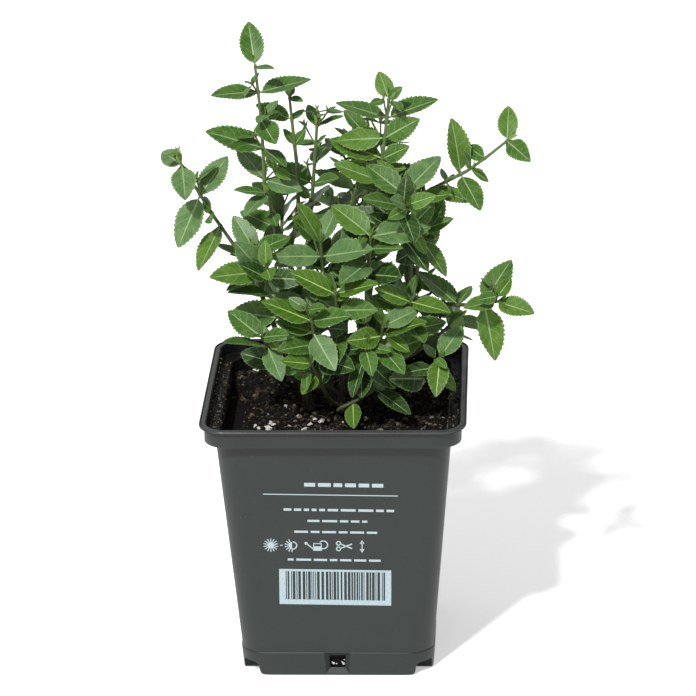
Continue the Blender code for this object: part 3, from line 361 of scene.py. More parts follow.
# Looks
SIDE_VEINS = 12  # lines of the side veins' pattern over a leaf's length
SKIN_BROWN, SKIN_GREEN = 110.0, 165.0  # heights between which a shoot's skin turns from brown to green
BARK_BROWN, BARK_GREEN = 104.0, 150.0  # the same for bark
LEAF_DUST = "#bcc7ad"
POTTING_DUST = "#7d7a72"
DUST_SPECK = 0.04  # the least reach of a speck of dust on plastic, as a share of its pattern's cells
MEET = 1.2  # how far a mass's own stem runs back into its limb
RING_STEP = 0.9  # between the rings of a limb
JOINT_STEP = 11.0  # between the old leaf joints on a limb
JOINT_SWELL, JOINT_HALF = 0.16, 0.8  # how much a limb swells there, as a share, and half how far
TWIG_RING_STEP = 2.5  # between the rings of a twig, apart from those at its joints
TWIG_SWELL, TWIG_JOINT_HALF = 0.32, 0.6  # the same as a limb's
FINE_TWIG_SIDES, FINE_STEM_SIDES, FINE_BOUGH_SIDES = 6, 12, 8
BARK_RELIEF, YOUNG_BARK_RELIEF = 0.14, 0.06  # how far the bark's ridges stand out
SLIM = 0.85  # a stem's radius under its bark's ridges, as a share of the construction's
SLIM_FLARE = 1.2  # how far a stem may widen at the soil

# Print on the pot's front: places across and heights up
INK_THICK = 0.05
PRINT_SEED = 3
PRINT_LEAN = -0.9  # degrees: it is printed a little askew
SUN_RAYS = 14
LABEL_SIDES, LABEL_HEIGHTS = (-19.0, 19.2), (27.5, 41.1)
STRIPE_SIDES, STRIPE_HEIGHTS = (-16.8, 17.1), (29.4, 40.3)
SIGNS_HEIGHT = 50.2
RULE_SIDES, RULE_HEIGHT = (-24.1, 21.4), 69.6
DASHED_LINES = [  # height, first and last place, and how tall
    (73.4, -10.2, 16.5, 1.4),
    (63.9, -17.2, 20.7, 0.9), (59.7, -9.2, 11.1, 0.8), (55.5, -13.7, 14.4, 0.8), (44.8, -16.0, 15.6, 0.8),
]

SOIL_SEED = 5
PERLITE_SPOTS = [  # place and size of the grains that the photograph shows
    (-32.5, 11.4, 1.3), (-12.8, -9.4, 1.1), (-21.9, -15.9, 1.2), (-10.5, -21.4, 1.2), (0.1, -14.1, 1.0),
    (-30.2, 36.5, 1.3), (-22.7, -21.4, 1.1), (-11.2, 5.6, 0.9), (-17.8, 0.0, 0.8), (-7.1, -13.2, 1.0),
    (-4.6, -15.0, 1.1), (-37.0, 17.0, 0.6), (-36.5, 3.8, 0.7), (-1.3, -5.7, 0.6), (-15.5, -18.6, 0.7),
    (-27.0, -19.4, 0.8), (-8.6, -17.6, 0.7),
]
WINDOW_GRAINS = 26
WINDOW_GRAIN_SIZES = (0.25, 0.7)

# Light and floor
STUDIO_LIGHT = 0.44
KEY_LIGHT = 3.1
KEY_SPREAD = 3.5  # degrees
KEY_FROM = (-0.42, -1.0, 1.15)
FLOOR_HALF = 3000.0
FLOOR_DROP = -0.05  # just under the pot's foot


# Nodes and materials

NOISE, CELLS, BUMP = "ShaderNodeTexNoise", "ShaderNodeTexVoronoi", "ShaderNodeBump"
MATH, RANGE, AXES = "ShaderNodeMath", "ShaderNodeMapRange", "ShaderNodeSeparateXYZ"
MIX, SHARE, FIRST, SECOND = "ShaderNodeMix", 0, 6, 7  # the node, and its sockets where it mixes colours
COLOURS = {"output": 2, "data_type": "RGBA"}
TISSUE_GLOW = {  # light that soaks a little way into a leaf, and comes out green
    "Subsurface Weight": 0.12, "Subsurface Radius": (0.3, 0.9, 0.1), "Subsurface Scale": 0.6 * MM,
}


def linear(colour):
    """A colour given as sRGB hex, as linear red, green, blue and alpha."""
    parts = [int(colour[i : i + 2], 16) / 255 for i in (1, 3, 5)]
    return (*[c / 12.92 if c <= 0.04045 else ((c + 0.055) / 1.055) ** 2.4 for c in parts], 1.0)


def feed(node, inputs):
    """Gives a node's inputs their values, colours as hex, and links those that are given as an output."""
    for name, value in inputs.items():
        if isinstance(value, bpy.types.NodeSocket):
            node.id_data.links.new(value, node.inputs[name])
        else:
            node.inputs[name].default_value = linear(value) if isinstance(value, str) else value


def add_node(tree, kind, inputs, output=0, **settings):
    """Adds a node with its settings and inputs, and gives back one of its outputs."""
    node = tree.nodes.new(kind)
    for name, value in settings.items():
        setattr(node, name, value)
    feed(node, inputs)
    return node.outputs[output]


def material(name, finish, *values):
    """A material of one of the finishes below, each of which gives the shader its inputs.

    A finish gets the means to add a node, and the place on the object.
    """
    made = bpy.data.materials.new(name)
    made.use_nodes = True
    add = partial(add_node, made.node_tree)
    place = add("ShaderNodeTexCoord", {}, "Object")
    feed(made.node_tree.nodes["Principled BSDF"], finish(add, place, *values))
    return made


def per_mm(size):
    """The scale of a pattern whose features are this many millimetres across."""
    return 1 / (size * MM)


def waxy_leaf(add, place, colour, dull, vein):
    """An evergreen leaf's upper skin: a thin wax bloom greys it unevenly, faint pale side veins
    slant forwards from the midrib, the margin is a pale line, and specks of dust lie on it.
    The skin's grain and the specks are drawn coarser than they are, so that they show."""
    blotches = add(NOISE, {"Vector": place, "Scale": per_mm(4.0), "Detail": 5.0, "Roughness": 0.62})
    bloom = add(RANGE, {"Value": blotches, "From Min": 0.36, "From Max": 0.64})
    skin = add(MIX, {SHARE: bloom, FIRST: colour, SECOND: dull}, **COLOURS)
    blade = add("ShaderNodeUVMap", {}, uv_map="blade")
    off_midrib = add(MATH, {0: add(AXES, {"Vector": blade}, "Y"), 1: 0.5}, operation="SUBTRACT")
    off_midrib = add(MATH, {0: off_midrib}, operation="ABSOLUTE")
    slant = add(MATH, {0: off_midrib, 1: 0.5}, operation="MULTIPLY")
    along = add(MATH, {0: add(AXES, {"Vector": blade}, "X"), 1: slant}, operation="SUBTRACT")
    stray = add(NOISE, {"Vector": place, "Scale": per_mm(5.0), "Detail": 1.0})
    along = add(MATH, {0: stray, 1: 0.16, 2: along}, operation="MULTIPLY_ADD")
    wave = add(MATH, {0: along, 1: SIDE_VEINS / 2}, operation="MULTIPLY")
    wave = add(MATH, {0: wave, 1: 0.5}, operation="PINGPONG")
    line = add(RANGE, {"Value": wave, "From Min": 0.01, "From Max": 0.06, "To Min": 0.34, "To Max": 0.0})
    margin = add(RANGE, {"Value": off_midrib, "From Min": 0.46, "From Max": 0.49, "To Max": 0.5})
    faint = add(MATH, {0: line, 1: margin}, operation="MAXIMUM")
    veined = add(MIX, {SHARE: faint, FIRST: skin, SECOND: vein}, **COLOURS)
    specks = add(NOISE, {"Vector": place, "Scale": per_mm(0.55), "Detail": 1.0})
    dust = add(RANGE, {"Value": specks, "From Min": 0.71, "From Max": 0.76, "To Max": 0.42})
    dusty = add(MIX, {SHARE: dust, FIRST: veined, SECOND: LEAF_DUST}, **COLOURS)
    swell = add(RANGE, {"Value": wave, "From Min": 0.0, "From Max": 0.25, "To Max": 1.0})
    grain = add(NOISE, {"Vector": place, "Scale": per_mm(0.7), "Detail": 2.0})
    height = add(MATH, {0: swell, 1: 0.3, 2: grain}, operation="MULTIPLY_ADD")
    return {
        "Base Color": dusty, "IOR": 1.45, "Specular IOR Level": 0.4, **TISSUE_GLOW,
        "Roughness": add(RANGE, {"Value": blotches, "To Min": 0.36, "To Max": 0.52}),
        "Normal": add(BUMP, {"Height": height, "Distance": 0.07 * MM, "Strength": 0.6}),
    }


def leaf_rib(add, place, colour, tip):
    """The midrib and stalk: paler than the blade and smooth, as firm young tissue is."""
    patches = add(NOISE, {"Vector": place, "Scale": per_mm(3.0), "Detail": 2.0})
    mixed = add(MIX, {SHARE: patches, FIRST: colour, SECOND: tip}, **COLOURS)
    return {"Base Color": mixed, "Roughness": 0.45, "IOR": 1.45}


def leaf_underside(add, place, colour, dull):
    """The leaf's lower side: no wax, so it is paler and matt, with a fine net of veins, which is
    drawn as coarse as it needs to show."""
    patches = add(NOISE, {"Vector": place, "Scale": per_mm(2.2), "Detail": 4.0})
    mixed = add(MIX, {SHARE: patches, FIRST: colour, SECOND: dull}, **COLOURS)
    net = add(CELLS, {"Vector": place, "Scale": per_mm(1.2)}, feature="DISTANCE_TO_EDGE")
    bump = add(BUMP, {"Height": net, "Distance": 0.1 * MM, "Strength": 0.5})
    return {"Base Color": mixed, "Roughness": 0.68, "Normal": bump, "IOR": 1.4, **TISSUE_GLOW}


def shoot_skin(add, place, colour, dark):
    """A young shoot's skin: smooth green near the top, more and more brown lower down, with corky
    dots, drawn a little coarser than they are."""
    patches = add(NOISE, {"Vector": place, "Scale": per_mm(2.5), "Detail": 4.0})
    aged = add(RANGE, {
        "Value": add(AXES, {"Vector": place}, "Z"), "From Min": SKIN_BROWN * MM, "From Max": SKIN_GREEN * MM,
        "To Min": 0.6, "To Max": -0.1,
    })
    brown = add(MATH, {0: patches, 1: 0.5, 2: aged}, operation="MULTIPLY_ADD")
    mixed = add(MIX, {SHARE: brown, FIRST: colour, SECOND: dark}, **COLOURS)
    dots = add(NOISE, {"Vector": place, "Scale": per_mm(0.5), "Detail": 2.0})
    bump = add(BUMP, {"Height": dots, "Distance": 0.06 * MM, "Strength": 0.6})
    return {"Base Color": mixed, "Roughness": 0.5, "Normal": bump, "IOR": 1.45}


def corky_bark(add, place, colour, crack, young):
    """Old stem bark: thin brown cork, cracked lengthwise, which gives way to green further up."""
    stretched = add("ShaderNodeMapping", {"Vector": place, "Scale": (1.0, 1.0, 0.22)})
    cracks = add(NOISE, {"Vector": stretched, "Scale": per_mm(0.6), "Detail": 5.0})
    shade = add(RANGE, {"Value": cracks, "From Min": 0.38, "From Max": 0.62})
    bark = add(MIX, {SHARE: shade, FIRST: crack, SECOND: colour}, **COLOURS)
    greening = add(RANGE, {
        "Value": add(AXES, {"Vector": place}, "Z"), "From Min": BARK_BROWN * MM, "From Max": BARK_GREEN * MM,
        "To Max": 0.85,
    })
    mixed = add(MIX, {SHARE: greening, FIRST: bark, SECOND: young}, **COLOURS)
    bump = add(BUMP, {"Height": cracks, "Distance": 0.15 * MM, "Strength": 0.8})
    return {"Base Color": mixed, "Roughness": 0.8, "Normal": bump}


def moulded_polypropylene(add, place, colour, pale, dust_share, roughness, shine):
    """Injection-moulded recycled polypropylene: dark grey, satin, with scattered specks of potting
    dust and a fine moulded grain, which is drawn as coarse as it needs to show."""
    clouds = add(NOISE, {"Vector": place, "Scale": per_mm(14.0), "Detail": 3.0})
    base = add(MIX, {SHARE: clouds, FIRST: colour, SECOND: pale}, **COLOURS)
    specks = add(CELLS, {"Vector": place, "Scale": per_mm(1.6), "Randomness": 1.0})
    strewn = add(NOISE, {"Vector": place, "Scale": per_mm(5.0), "Detail": 2.0})
    reach = add(RANGE, {
        "Value": strewn, "From Min": 0.45, "From Max": 0.7,
        "To Min": DUST_SPECK, "To Max": DUST_SPECK + dust_share,
    })
    speck = add(MATH, {0: specks, 1: reach}, operation="LESS_THAN")
    faint = add(MATH, {0: speck, 1: 0.55}, operation="MULTIPLY")
    dusty = add(MIX, {SHARE: faint, FIRST: base, SECOND: POTTING_DUST}, **COLOURS)
    grain = add(NOISE, {"Vector": place, "Scale": per_mm(0.5), "Detail": 2.0})
    bump = add(BUMP, {"Height": grain, "Distance": 0.03 * MM, "Strength": 0.5})
    rough = add(RANGE, {"Value": clouds, "To Min": roughness[0], "To Max": roughness[1]})
    rougher = add(MATH, {0: speck, 1: 0.3, 2: rough}, operation="MULTIPLY_ADD")
    return {
        "Base Color": dusty, "Roughness": rougher, "Normal": bump, "IOR": 1.49, "Specular IOR Level": shine,
    }


def damp_peat(add, place, dark, pale, size):
    """Damp milled peat: nearly black, matt crumbs with brown fibre showing through."""
    crumbs = add(NOISE, {"Vector": place, "Scale": per_mm(size), "Detail": 5.0})
    shade = add(RANGE, {"Value": crumbs, "From Min": 0.4, "From Max": 0.72})
    mixed = add(MIX, {SHARE: shade, FIRST: dark, SECOND: pale}, **COLOURS)
    bump = add(BUMP, {"Height": crumbs, "Distance": 0.4 * MM, "Strength": 1.0})
    return {"Base Color": mixed, "Roughness": 0.93, "Normal": bump, "Specular IOR Level": 0.2}


def puffed_perlite(add, place, colour, pit):
    """Expanded perlite: light, chalky white grains with small dark pits."""
    pits = add(NOISE, {"Vector": place, "Scale": per_mm(0.5), "Detail": 3.0})
    shade = add(RANGE, {"Value": pits, "From Min": 0.3, "From Max": 0.5})
    mixed = add(MIX, {SHARE: shade, FIRST: pit, SECOND: colour}, **COLOURS)
    bump = add(BUMP, {"Height": pits, "Distance": 0.2 * MM, "Strength": 0.8})
    return {"Base Color": mixed, "Roughness": 0.9, "Normal": bump}


def screen_ink(add, place, colour, thin):
    """Pale screen-printing ink on plastic: matt, and a little thin where the screen's mesh lay,
    which is drawn coarser than it is."""
    mesh = add(NOISE, {"Vector": place, "Scale": per_mm(0.6), "Detail": 3.0})
    return {"Base Color": add(MIX, {SHARE: mesh, FIRST: colour, SECOND: thin}, **COLOURS), "Roughness": 0.6}


def matt_paper(add, place):
    """Matt white paper, with a glow that keeps the floor as white as the photograph's ground."""
    glow = {"Emission Color": (1, 1, 1, 1), "Emission Strength": 0.42}
    return {"Base Color": "#f7f7f7", "Roughness": 0.9, **glow}


# Meshes


def mesh_of(name, bm):
    """Turns a bmesh into a mesh and frees it."""
    mesh = bpy.data.meshes.new(name)
    bm.to_mesh(mesh)
    bm.free()
    return mesh


def place_object(name, data):
    made = bpy.data.objects.new(name, data)
    bpy.context.scene.collection.objects.link(made)
    return made


def join(whole, part):
    """Adds one bmesh to another and frees it."""
    mesh = mesh_of("part", part)
    whole.from_mesh(mesh)
    bpy.data.meshes.remove(mesh)


def add_piece(name, bm, looks, sharp=None):
    """Turns a bmesh in millimetres into an object in metres that rides with the plant's one body."""
    bmesh.ops.scale(bm, vec=(MM, MM, MM), verts=bm.verts)
    mesh = mesh_of(name, bm)
    for look in looks:
        mesh.materials.append(look)
    if sharp is not None:
        mesh.shade_smooth()
        mesh.set_sharp_from_angle(angle=math.radians(sharp))
    piece = place_object(name, mesh)
    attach(piece, "root")
    return piece


def sweep(line, radii, sides):
    """A closed round tube along a line, whose rings don't twist."""
    bm = bmesh.new()
    bmesh.ops.create_circle(bm, cap_ends=True, segments=sides, radius=1.0)
    cap = bm.faces[:]
    side = across((line[1] - line[0]).normalized())[0]
    last = Matrix.Identity(4)
    for i, (point, radius) in enumerate(zip(line, radii)):
        before, after = line[max(i - 1, 0)], line[min(i + 1, len(line) - 1)]
        direction = (after - before).normalized()
        side = (side - direction * side.dot(direction)).normalized()
        turn = Matrix((side.cross(direction) * -radius, side * radius, direction * radius)).transposed()
        place = Matrix.Translation(point) @ turn.to_4x4()
        if i:
            made = bmesh.ops.extrude_face_region(bm, geom=cap)["geom"]
            cap = [part for part in made if isinstance(part, bmesh.types.BMFace)]
        bmesh.ops.transform(bm, matrix=place @ last.inverted(), verts=cap[0].verts)
        last = place
    bmesh.ops.recalc_face_normals(bm, faces=bm.faces)
    return bm


# The growth rule: lines, free space, leaves and twigs


def smooth_line(points, steps):
    """Points along a smooth curve through the given points."""
    given = [Vector(p) for p in points]
    ends = [2 * given[0] - given[1]] + given + [2 * given[-1] - given[-2]]
    line = []
    for a, b, c, d in zip(ends, ends[1:], ends[2:], ends[3:]):
        for step in range(steps):
            t = step / steps
            bend = 2 * a - 5 * b + 4 * c - d
            twist = 3 * b - a - 3 * c + d
            line.append(0.5 * (2 * b + (c - a) * t + bend * t**2 + twist * t**3))
    line.append(given[-1])
    return line


def length_of(line):
    return sum((b - a).length for a, b in zip(line, line[1:]))


def point_at(line, share):
    """The point and direction at a share of a line's length."""
    left = share * length_of(line)
    for a, b in zip(line, line[1:]):
        length = (b - a).length
        if left <= length or b is line[-1]:
            return a.lerp(b, left / length), (b - a).normalized()
        left -= length


def across(direction):
    """Two directions square to this one: the first is level, the second points up."""
    side = direction.cross(Vector((0, 0, 1)))
    if side.length < 0.05:
        side = Vector((1, 0, 0)) - direction * direction.x
    side.normalize()
    return side, side.cross(direction).normalized()


def taper(first, last, count):
    return [first + (last - first) * i / (count - 1) for i in range(count)]


def stem_radii(line):
    """The stem's taper, with a flare where it comes out of the soil."""
    radii = taper(STEM_RADIUS, STEM_TIP_RADIUS, len(line))
    for i, point in enumerate(line):
        rise = (point.z - SOIL_TOP) / FLARE_HEIGHT
        radii[i] *= 1 + (FLARE - 1) * max(0.0, 1 - rise) ** 2
    return radii


def flat_foot(line):
    """Starts a stem straight up, so that its cut at the soil is flat."""
    foot = line[0]
    return [foot, foot + Vector((0, 0, 1.5))] + line[1:]


def bough_line(stem_line, shoot, stem_radius):
    """The bough's curve from just outside its stem to just short of its shoot."""
    start, along = point_at(stem_line, shoot.share)
    foot, apex = Vector(shoot.foot), Vector(shoot.apex)
    lead = (apex - foot).normalized()
    out = foot - start
    out.z = 0
    reach = (foot - start).length
    leave = (out.normalized() + along * BOUGH_RISE).normalized()
    handles = [start, start + leave * reach * 0.4, foot - lead * reach * 0.35, foot]
    line = []
    for i in range(BOUGH_STEPS + 1):
        t = i / BOUGH_STEPS
        weights = ((1 - t) ** 3, 3 * t * (1 - t) ** 2, 3 * t**2 * (1 - t), t**3)
        line.append(sum((h * w for h, w in zip(handles, weights)), Vector()))
    angle = leave.angle(along)
    skip = (stem_radius + GAP) / math.sin(angle) + BOUGH_RADIUS / math.tan(angle) + 0.1
    line[0] = start + leave * skip
    line[-1] = foot - lead * GAP
    return line


def leaf_seat(root, direction, face):
    """The matrix that lays a leaf along the direction with its upper side towards face."""
    upper = (face - direction * face.dot(direction)).normalized()
    side = upper.cross(direction)
    turn = Matrix((direction, side, upper)).transposed()
    return Matrix.Translation(root) @ turn.to_4x4()


def leaf_guard(seat, length):
    """A closed shape round the blade, but not its root, that other solids stay out of."""
    width = LEAF_WIDTH * length / 2 + LEAF_CLEAR
    fold = LEAF_FOLD * length
    start = GUARD_START / LEAF_WIDEST
    side = [
        (GUARD_START * length, start * width, start * fold),
        (LEAF_WIDEST * length, width, fold),
        (LEAF_SHOULDER * length, SHOULDER_WIDTH * width, SHOULDER_FOLD * fold),
        (length + LEAF_CLEAR, LEAF_CLEAR, -TIP_DROP * fold),
    ]
    outline = side + [(x, -y, z) for x, y, z in reversed(side)]
    ridge = LEAF_CLEAR + LEAF_THICK * length / 2
    above = [(x, y, z + LEAF_CLEAR) for x, y, z in outline]
    below = [(x, y, z - LEAF_CLEAR) for x, y, z in outline]
    middle = [(0.45 * length, 0, ridge), (0.45 * length, 0, -ridge)]
    return [seat @ Vector(p) for p in above + below + middle]


def guard_faces():
    faces = []
    for i in range(8):
        j = (i + 1) % 8
        faces += [(i, j, 16), (j + 8, i + 8, 17), (i, i + 8, j + 8), (i, j + 8, j)]
    return faces


GUARD_FACES = guard_faces()


def span(points):
    """The lowest and highest corners of a box round the points."""
    return [Vector([pick(p[i] for p in points) for i in range(3)]) for pick in (min, max)]


class Crowd:
    """What already stands in the crown, to keep each new leaf clear of it."""

    def __init__(self):
        self.things = []

    def add(self, points, faces, owner):
        self.things.append((*span(points), BVHTree.FromPolygons(points, faces), owner))

    def free(self, points, faces, owner):
        """True if the shape meets nothing but its owner."""
        low, high = span(points)
        tree = BVHTree.FromPolygons(points, faces)
        for other_low, other_high, other, whose in self.things:
            if owner is not None and whose == owner:
                continue
            if any(low[i] > other_high[i] or high[i] < other_low[i] for i in range(3)):
                continue
            if tree.overlap(other):
                return False
        return True


Leaf = namedtuple("Leaf", "seat length age axis tint")  # age is 0 at the foot of a twig and 1 at its tip
Twig = namedtuple("Twig", "line radii pairs")


def in_space(point):
    """Leaves stay above the soil and outside the pot's rim."""
    inside = max(abs(point.x), abs(point.y)) < BODY_TOP_HALF - RIM_AIR
    return point.z > POT_HEIGHT + SOIL_AIR or (inside and point.z > SOIL_TOP + SOIL_AIR)


def blade_face(point, axis):
    """Blades look along their shoot, up, and away from the crown's middle."""
    away = point - CROWN_MIDDLE
    away.z = 0
    return axis * 0.35 + Vector((0, 0, 0.55)) + away.normalized() * 0.85


# What a leaf with no room tries in turn: its share of the length, then degrees round and along its twig
LEAF_TRIES = [
    (1, 0, 0), (1, 14, 0), (1, -14, 0), (1, 0, -16), (1, 0, 14), (0.95, 24, 8), (0.95, -24, 8),
    (0.9, 0, -28), (0.9, 32, -10), (0.9, -32, -10), (0.8, 0, 20), (0.8, 18, -20), (0.75, -16, 0),
]


def try_leaf(root, direction, face, length, crowd, owner, age=1.0, axis=None, reach=None):
    """The leaf if its space is free and within reach, or None."""
    seat = leaf_seat(root - direction * ROOT_DEPTH, direction, face)
    guard = leaf_guard(seat, length)
    if reach and not all(low - 1 < c < high + 1 for p in guard for c, low, high in zip(p, *reach)):
        return None
    if all(in_space(p) for p in guard) and crowd.free(guard, GUARD_FACES, owner):
        crowd.add(guard, GUARD_FACES, None)
        return Leaf(seat, length, age, axis, None)
    return None


def place_leaf(root, axis, turn, opening, length, dice, crowd, owner, age, reach):
    """One leaf, turned or shortened until it is clear, or None where there is no room."""
    side, up = across(axis)
    roll = dice.uniform(-ROLL_STRAY, ROLL_STRAY)
    for shrink, swing, lift in LEAF_TRIES:
        angle = math.radians(turn + swing)
        spread = math.radians(min(max(opening + lift, NARROWEST), WIDEST))
        radial = side * math.cos(angle) + up * math.sin(angle)
        direction = (axis * math.cos(spread) + radial * math.sin(spread)).normalized()
        face = Matrix.Rotation(math.radians(roll), 3, direction) @ blade_face(root, axis)
        leaf = try_leaf(root, direction, face, length * shrink, crowd, owner, age, axis, reach)
        if leaf:
            return leaf
    return None


def pair_share(pairs, number):
    """How far along its twig a pair of leaves stands. The pairs draw together towards the tip, and the
    last one stands just short of it."""
    share = ((number + 0.6) / (pairs - 0.4)) ** 0.85 if pairs > 1 else 1.0
    return min(share, 1.0) * 0.985


def pair_root(line, pairs, number):
    """Where a pair of leaves stands on its twig, and which way the twig runs there."""
    return point_at(line, pair_share(pairs, number))


def seen_direction(root, x, z, length, depth):
    """The direction from its root of a leaf whose tip is seen from EYE at this place of the plane y = 0."""
    sight = (Vector((x, 0.0, z)) - EYE).normalized()
    along = (root - EYE).dot(sight)
    gap = (EYE + sight * along - root).length
    shift = math.sqrt(max((length - ROOT_DEPTH) ** 2 - gap**2, 0.0))
    return (EYE + sight * (along + depth * shift) - root).normalized()


def grow_outer_leaves(name, shoot, line, crowd):
    """The leaves that follow the photo, which are placed before all others."""
    leaves = []
    for number, _, x, z, length, depth, roll, green in OUTER_LEAVES.get(name, []):
        root, axis = pair_root(line, shoot.pairs, number)
        direction = seen_direction(root, x, z, length, depth)
        age = number / max(shoot.pairs - 1, 1)
        face = Matrix.Rotation(math.radians(roll), 3, direction) @ OUTER_FACE
        leaf = try_leaf(root, direction, face, length, crowd, name, age, axis)
        if leaf:
            leaves.append(leaf._replace(tint=green))
    return leaves


def grow_twig(line, pairs, turn, longest, youngest, dice, crowd, owner, placed=(), reach=None):
    """The pairs of leaves along one twig, each pair square to the last, smaller and steeper to the tip."""
    leaves = []
    for number in range(pairs):
        root, axis = pair_root(line, pairs, number)
        nearness = number / max(pairs - 1, 1)
        opening = OPENING - TIP_CLOSING * nearness**2 + dice.uniform(-OPENING_STRAY, OPENING_STRAY)
        length = longest + (youngest - longest) * nearness**2
        spin = turn + PAIR_TURN * number + dice.uniform(-TURN_STRAY, TURN_STRAY)
        for half in (0, 1):
            size = length * dice.uniform(*SIZE_STRAY)
            place = root + axis * ROOT_DEPTH * (half - 0.5)
            if (number, half) in placed:
                continue
            heading = spin + 180 * half
            leaf = place_leaf(place, axis, heading, opening, size, dice, crowd, owner, nearness, reach)
            if leaf:
                leaves.append(leaf)
    return leaves


def side_twig_line(start, axis, turn, reach):
    """A side twig that leaves its shoot at a slant and bends up towards the light."""
    side, up = across(axis)
    radial = side * math.cos(math.radians(turn)) + up * math.sin(math.radians(turn))
    heading = (radial + axis * 0.8 + Vector((0, 0, 0.35))).normalized()
    return [start, start + heading * reach * 0.5, start + heading * reach + Vector((0, 0, 0.1 * reach))]


def grow_shoot(name, shoot, number, crowd, twigs):
    """The rest of a mass's leaves, and its side twigs, by a seeded rule."""
    dice = random.Random(PLANT_SEED + number)
    main = twigs[name][0]
    placed = [leaf[:2] for leaf in OUTER_LEAVES.get(name, [])] + BARE_PLACES.get(name, [])
    young = shoot.leaf * YOUNG_LEAF
    leaves = grow_twig(main.line, shoot.pairs, shoot.turn, shoot.leaf, young, dice, crowd, name, placed)
    for order in range(shoot.pairs - 1):
        start, axis = point_at(main.line, (order + 0.45) / shoot.pairs)
        for half in range(shoot.twigs):
            turn = shoot.turn + PAIR_TURN * (order + 0.5) + 180 * half
            turn += dice.uniform(-TWIG_TURN, TWIG_TURN)
            line = side_twig_line(start, axis, turn, dice.uniform(*TWIG_REACH))
            longest = shoot.leaf * TWIG_LEAF * dice.uniform(0.92, 1.08)
            free_line = [line[0].lerp(line[1], 0.45), line[1], line[2]]
            points, faces = solid_shape(free_line, [TWIG_RADIUS + GAP] * len(line), TWIG_SIDES)
            if not in_space(line[-1]) or not crowd.free(points, faces, name):
                continue
            grown = grow_twig(line, 2, turn, longest, longest * YOUNG_TWIG_LEAF, dice, crowd, name)
            if grown:
                crowd.add(points, faces, name)
                twigs[name].append(Twig(line, taper(TWIG_RADIUS, TWIG_RADIUS * 0.8, len(line)), 2))
                leaves += grown
    return leaves


def solid_shape(line, radii, sides):
    """A tube's points and faces, for the crowd."""
    bm = sweep(line, radii, sides)
    bm.verts.index_update()
    points = [v.co.copy() for v in bm.verts]
    faces = [[v.index for v in f.verts] for f in bm.faces]
    bm.free()
    return points, faces


def main_twig(shoot, stem_line):
    """A shoot's own stem, which leaves its limb's tip straight on and then bows up a little."""
    foot, apex = Vector(shoot.foot), Vector(shoot.apex)
    reach = (apex - foot).length
    middle = foot.lerp(apex, 0.5) - Vector((0, 0, 0.03 * reach))
    given = [foot, middle, apex]
    if shoot.share == 1.0:
        lead = (stem_line[-1] - stem_line[-2]).normalized()
        given = [foot + lead * GAP, foot + lead * 0.12 * reach, foot.lerp(apex, 0.55), apex]
    line = smooth_line(given, 2)
    return Twig(line, taper(SHOOT_RADIUS, SHOOT_TIP_RADIUS, len(line)), shoot.pairs)


# Finer growth


def grow_sprigs(name, leaves, twigs, reach, crowd, dice):
    """Short new shoots from the leaves' axils, each with a pair of small leaves, where there is room."""
    grown = []
    for leaf in leaves:
        if dice.random() > SPRIG_CHANCE:
            continue
        direction = leaf.seat.to_3x3().col[0]
        root = leaf.seat.translation + direction * ROOT_DEPTH
        lean = Vector([dice.uniform(-0.5, 0.5) for _ in range(3)])
        heading = (direction * 0.6 + leaf.axis * 0.7 + Vector((0, 0, 0.4)) + lean * 0.8).normalized()
        length = dice.uniform(*SPRIG_REACH)
        rise = Vector((0, 0, 0.08 * length))
        line = [root, root + heading * length * 0.5, root + heading * length + rise]
        points, faces = solid_shape([line[0].lerp(line[1], 0.6)] + line[1:], [SPRIG_RADIUS] * 3, TWIG_SIDES)
        if not in_space(line[-1]) or not crowd.free(points, faces, name):
            continue
        longest = dice.uniform(*SPRIG_LEAF)
        turn = dice.uniform(0, 180)
        new = grow_twig(line, 1, turn, longest, longest, dice, crowd, name, reach=reach)
        if new:
            crowd.add(points, faces, name)
            twigs.append(Twig(line, taper(SPRIG_RADIUS, SPRIG_RADIUS * 0.8, 3), 1))
            grown += [young._replace(age=1.0) for young in new]
    return grown


def tip_leaves(twig, dice):
    """The folded pair of tiny leaves that ends a twig."""
    apex = twig.line[-1]
    axis = (twig.line[-1] - twig.line[-2]).normalized()
    side, up = across(axis)
    turn = dice.uniform(0, math.pi)
    leaves = []
    for half in (1, -1):
        spread = math.radians(dice.uniform(*TIP_SPREAD))
        radial = (side * math.cos(turn) + up * math.sin(turn)) * half
        direction = axis * math.cos(spread) + radial * math.sin(spread)
        length = dice.uniform(*TIP_LEAF) * (0.8 if twig.pairs == 1 else 1.0)
        seat = leaf_seat(apex - axis * 0.2, direction, axis)
        leaves.append(Leaf(seat, length, FOLDED, axis, dice.choice((OLIVE, FRESH))))
    return leaves


# Leaf and twig looks


def leaf_looks():
    """The materials of the plant: the leaves' five greens from dark to fresh, then their other parts. The
    dark green paints shade and the bluish one paints a sheen.
    """
    # The dark green is a painted shade, and the bluish green a painted sheen of reflected light
    greens = [
        ("dark", "#203b0f", "#2f4f1a"), ("mid", "#365c18", "#4b6d2a"), ("bluish", "#4a6c3a", "#617f4b"),
        ("olive", "#456a1b", "#597a2b"), ("fresh", "#3c600c", "#4b6c1b"),
    ]
    leaves = [material("waxy_leaf_" + name, waxy_leaf, *skin, "#93ad78") for name, *skin in greens]
    leaves += [
        material("leaf_rib", leaf_rib, "#8fa975", "#7f9a63"),
        material("leaf_underside", leaf_underside, "#667f4a", "#56703d"),
        material("young_leaf_rib", leaf_rib, "#a6c273", "#93b05f"),
        material("young_leaf_underside", leaf_underside, "#7c9744", "#6c8838"),
    ]
    return {
        "leaves": leaves,
        "shoot": material("green_shoot_skin", shoot_skin, "#566c37", "#3d3c22"),
        "bark": material("corky_stem_bark", corky_bark, "#4c4833", "#25241a", "#51653c"),
        "young_bark": material("young_limb_bark", corky_bark, "#504a2f", "#2e2a1b", "#4f6438"),
    }


# Leaf meshes


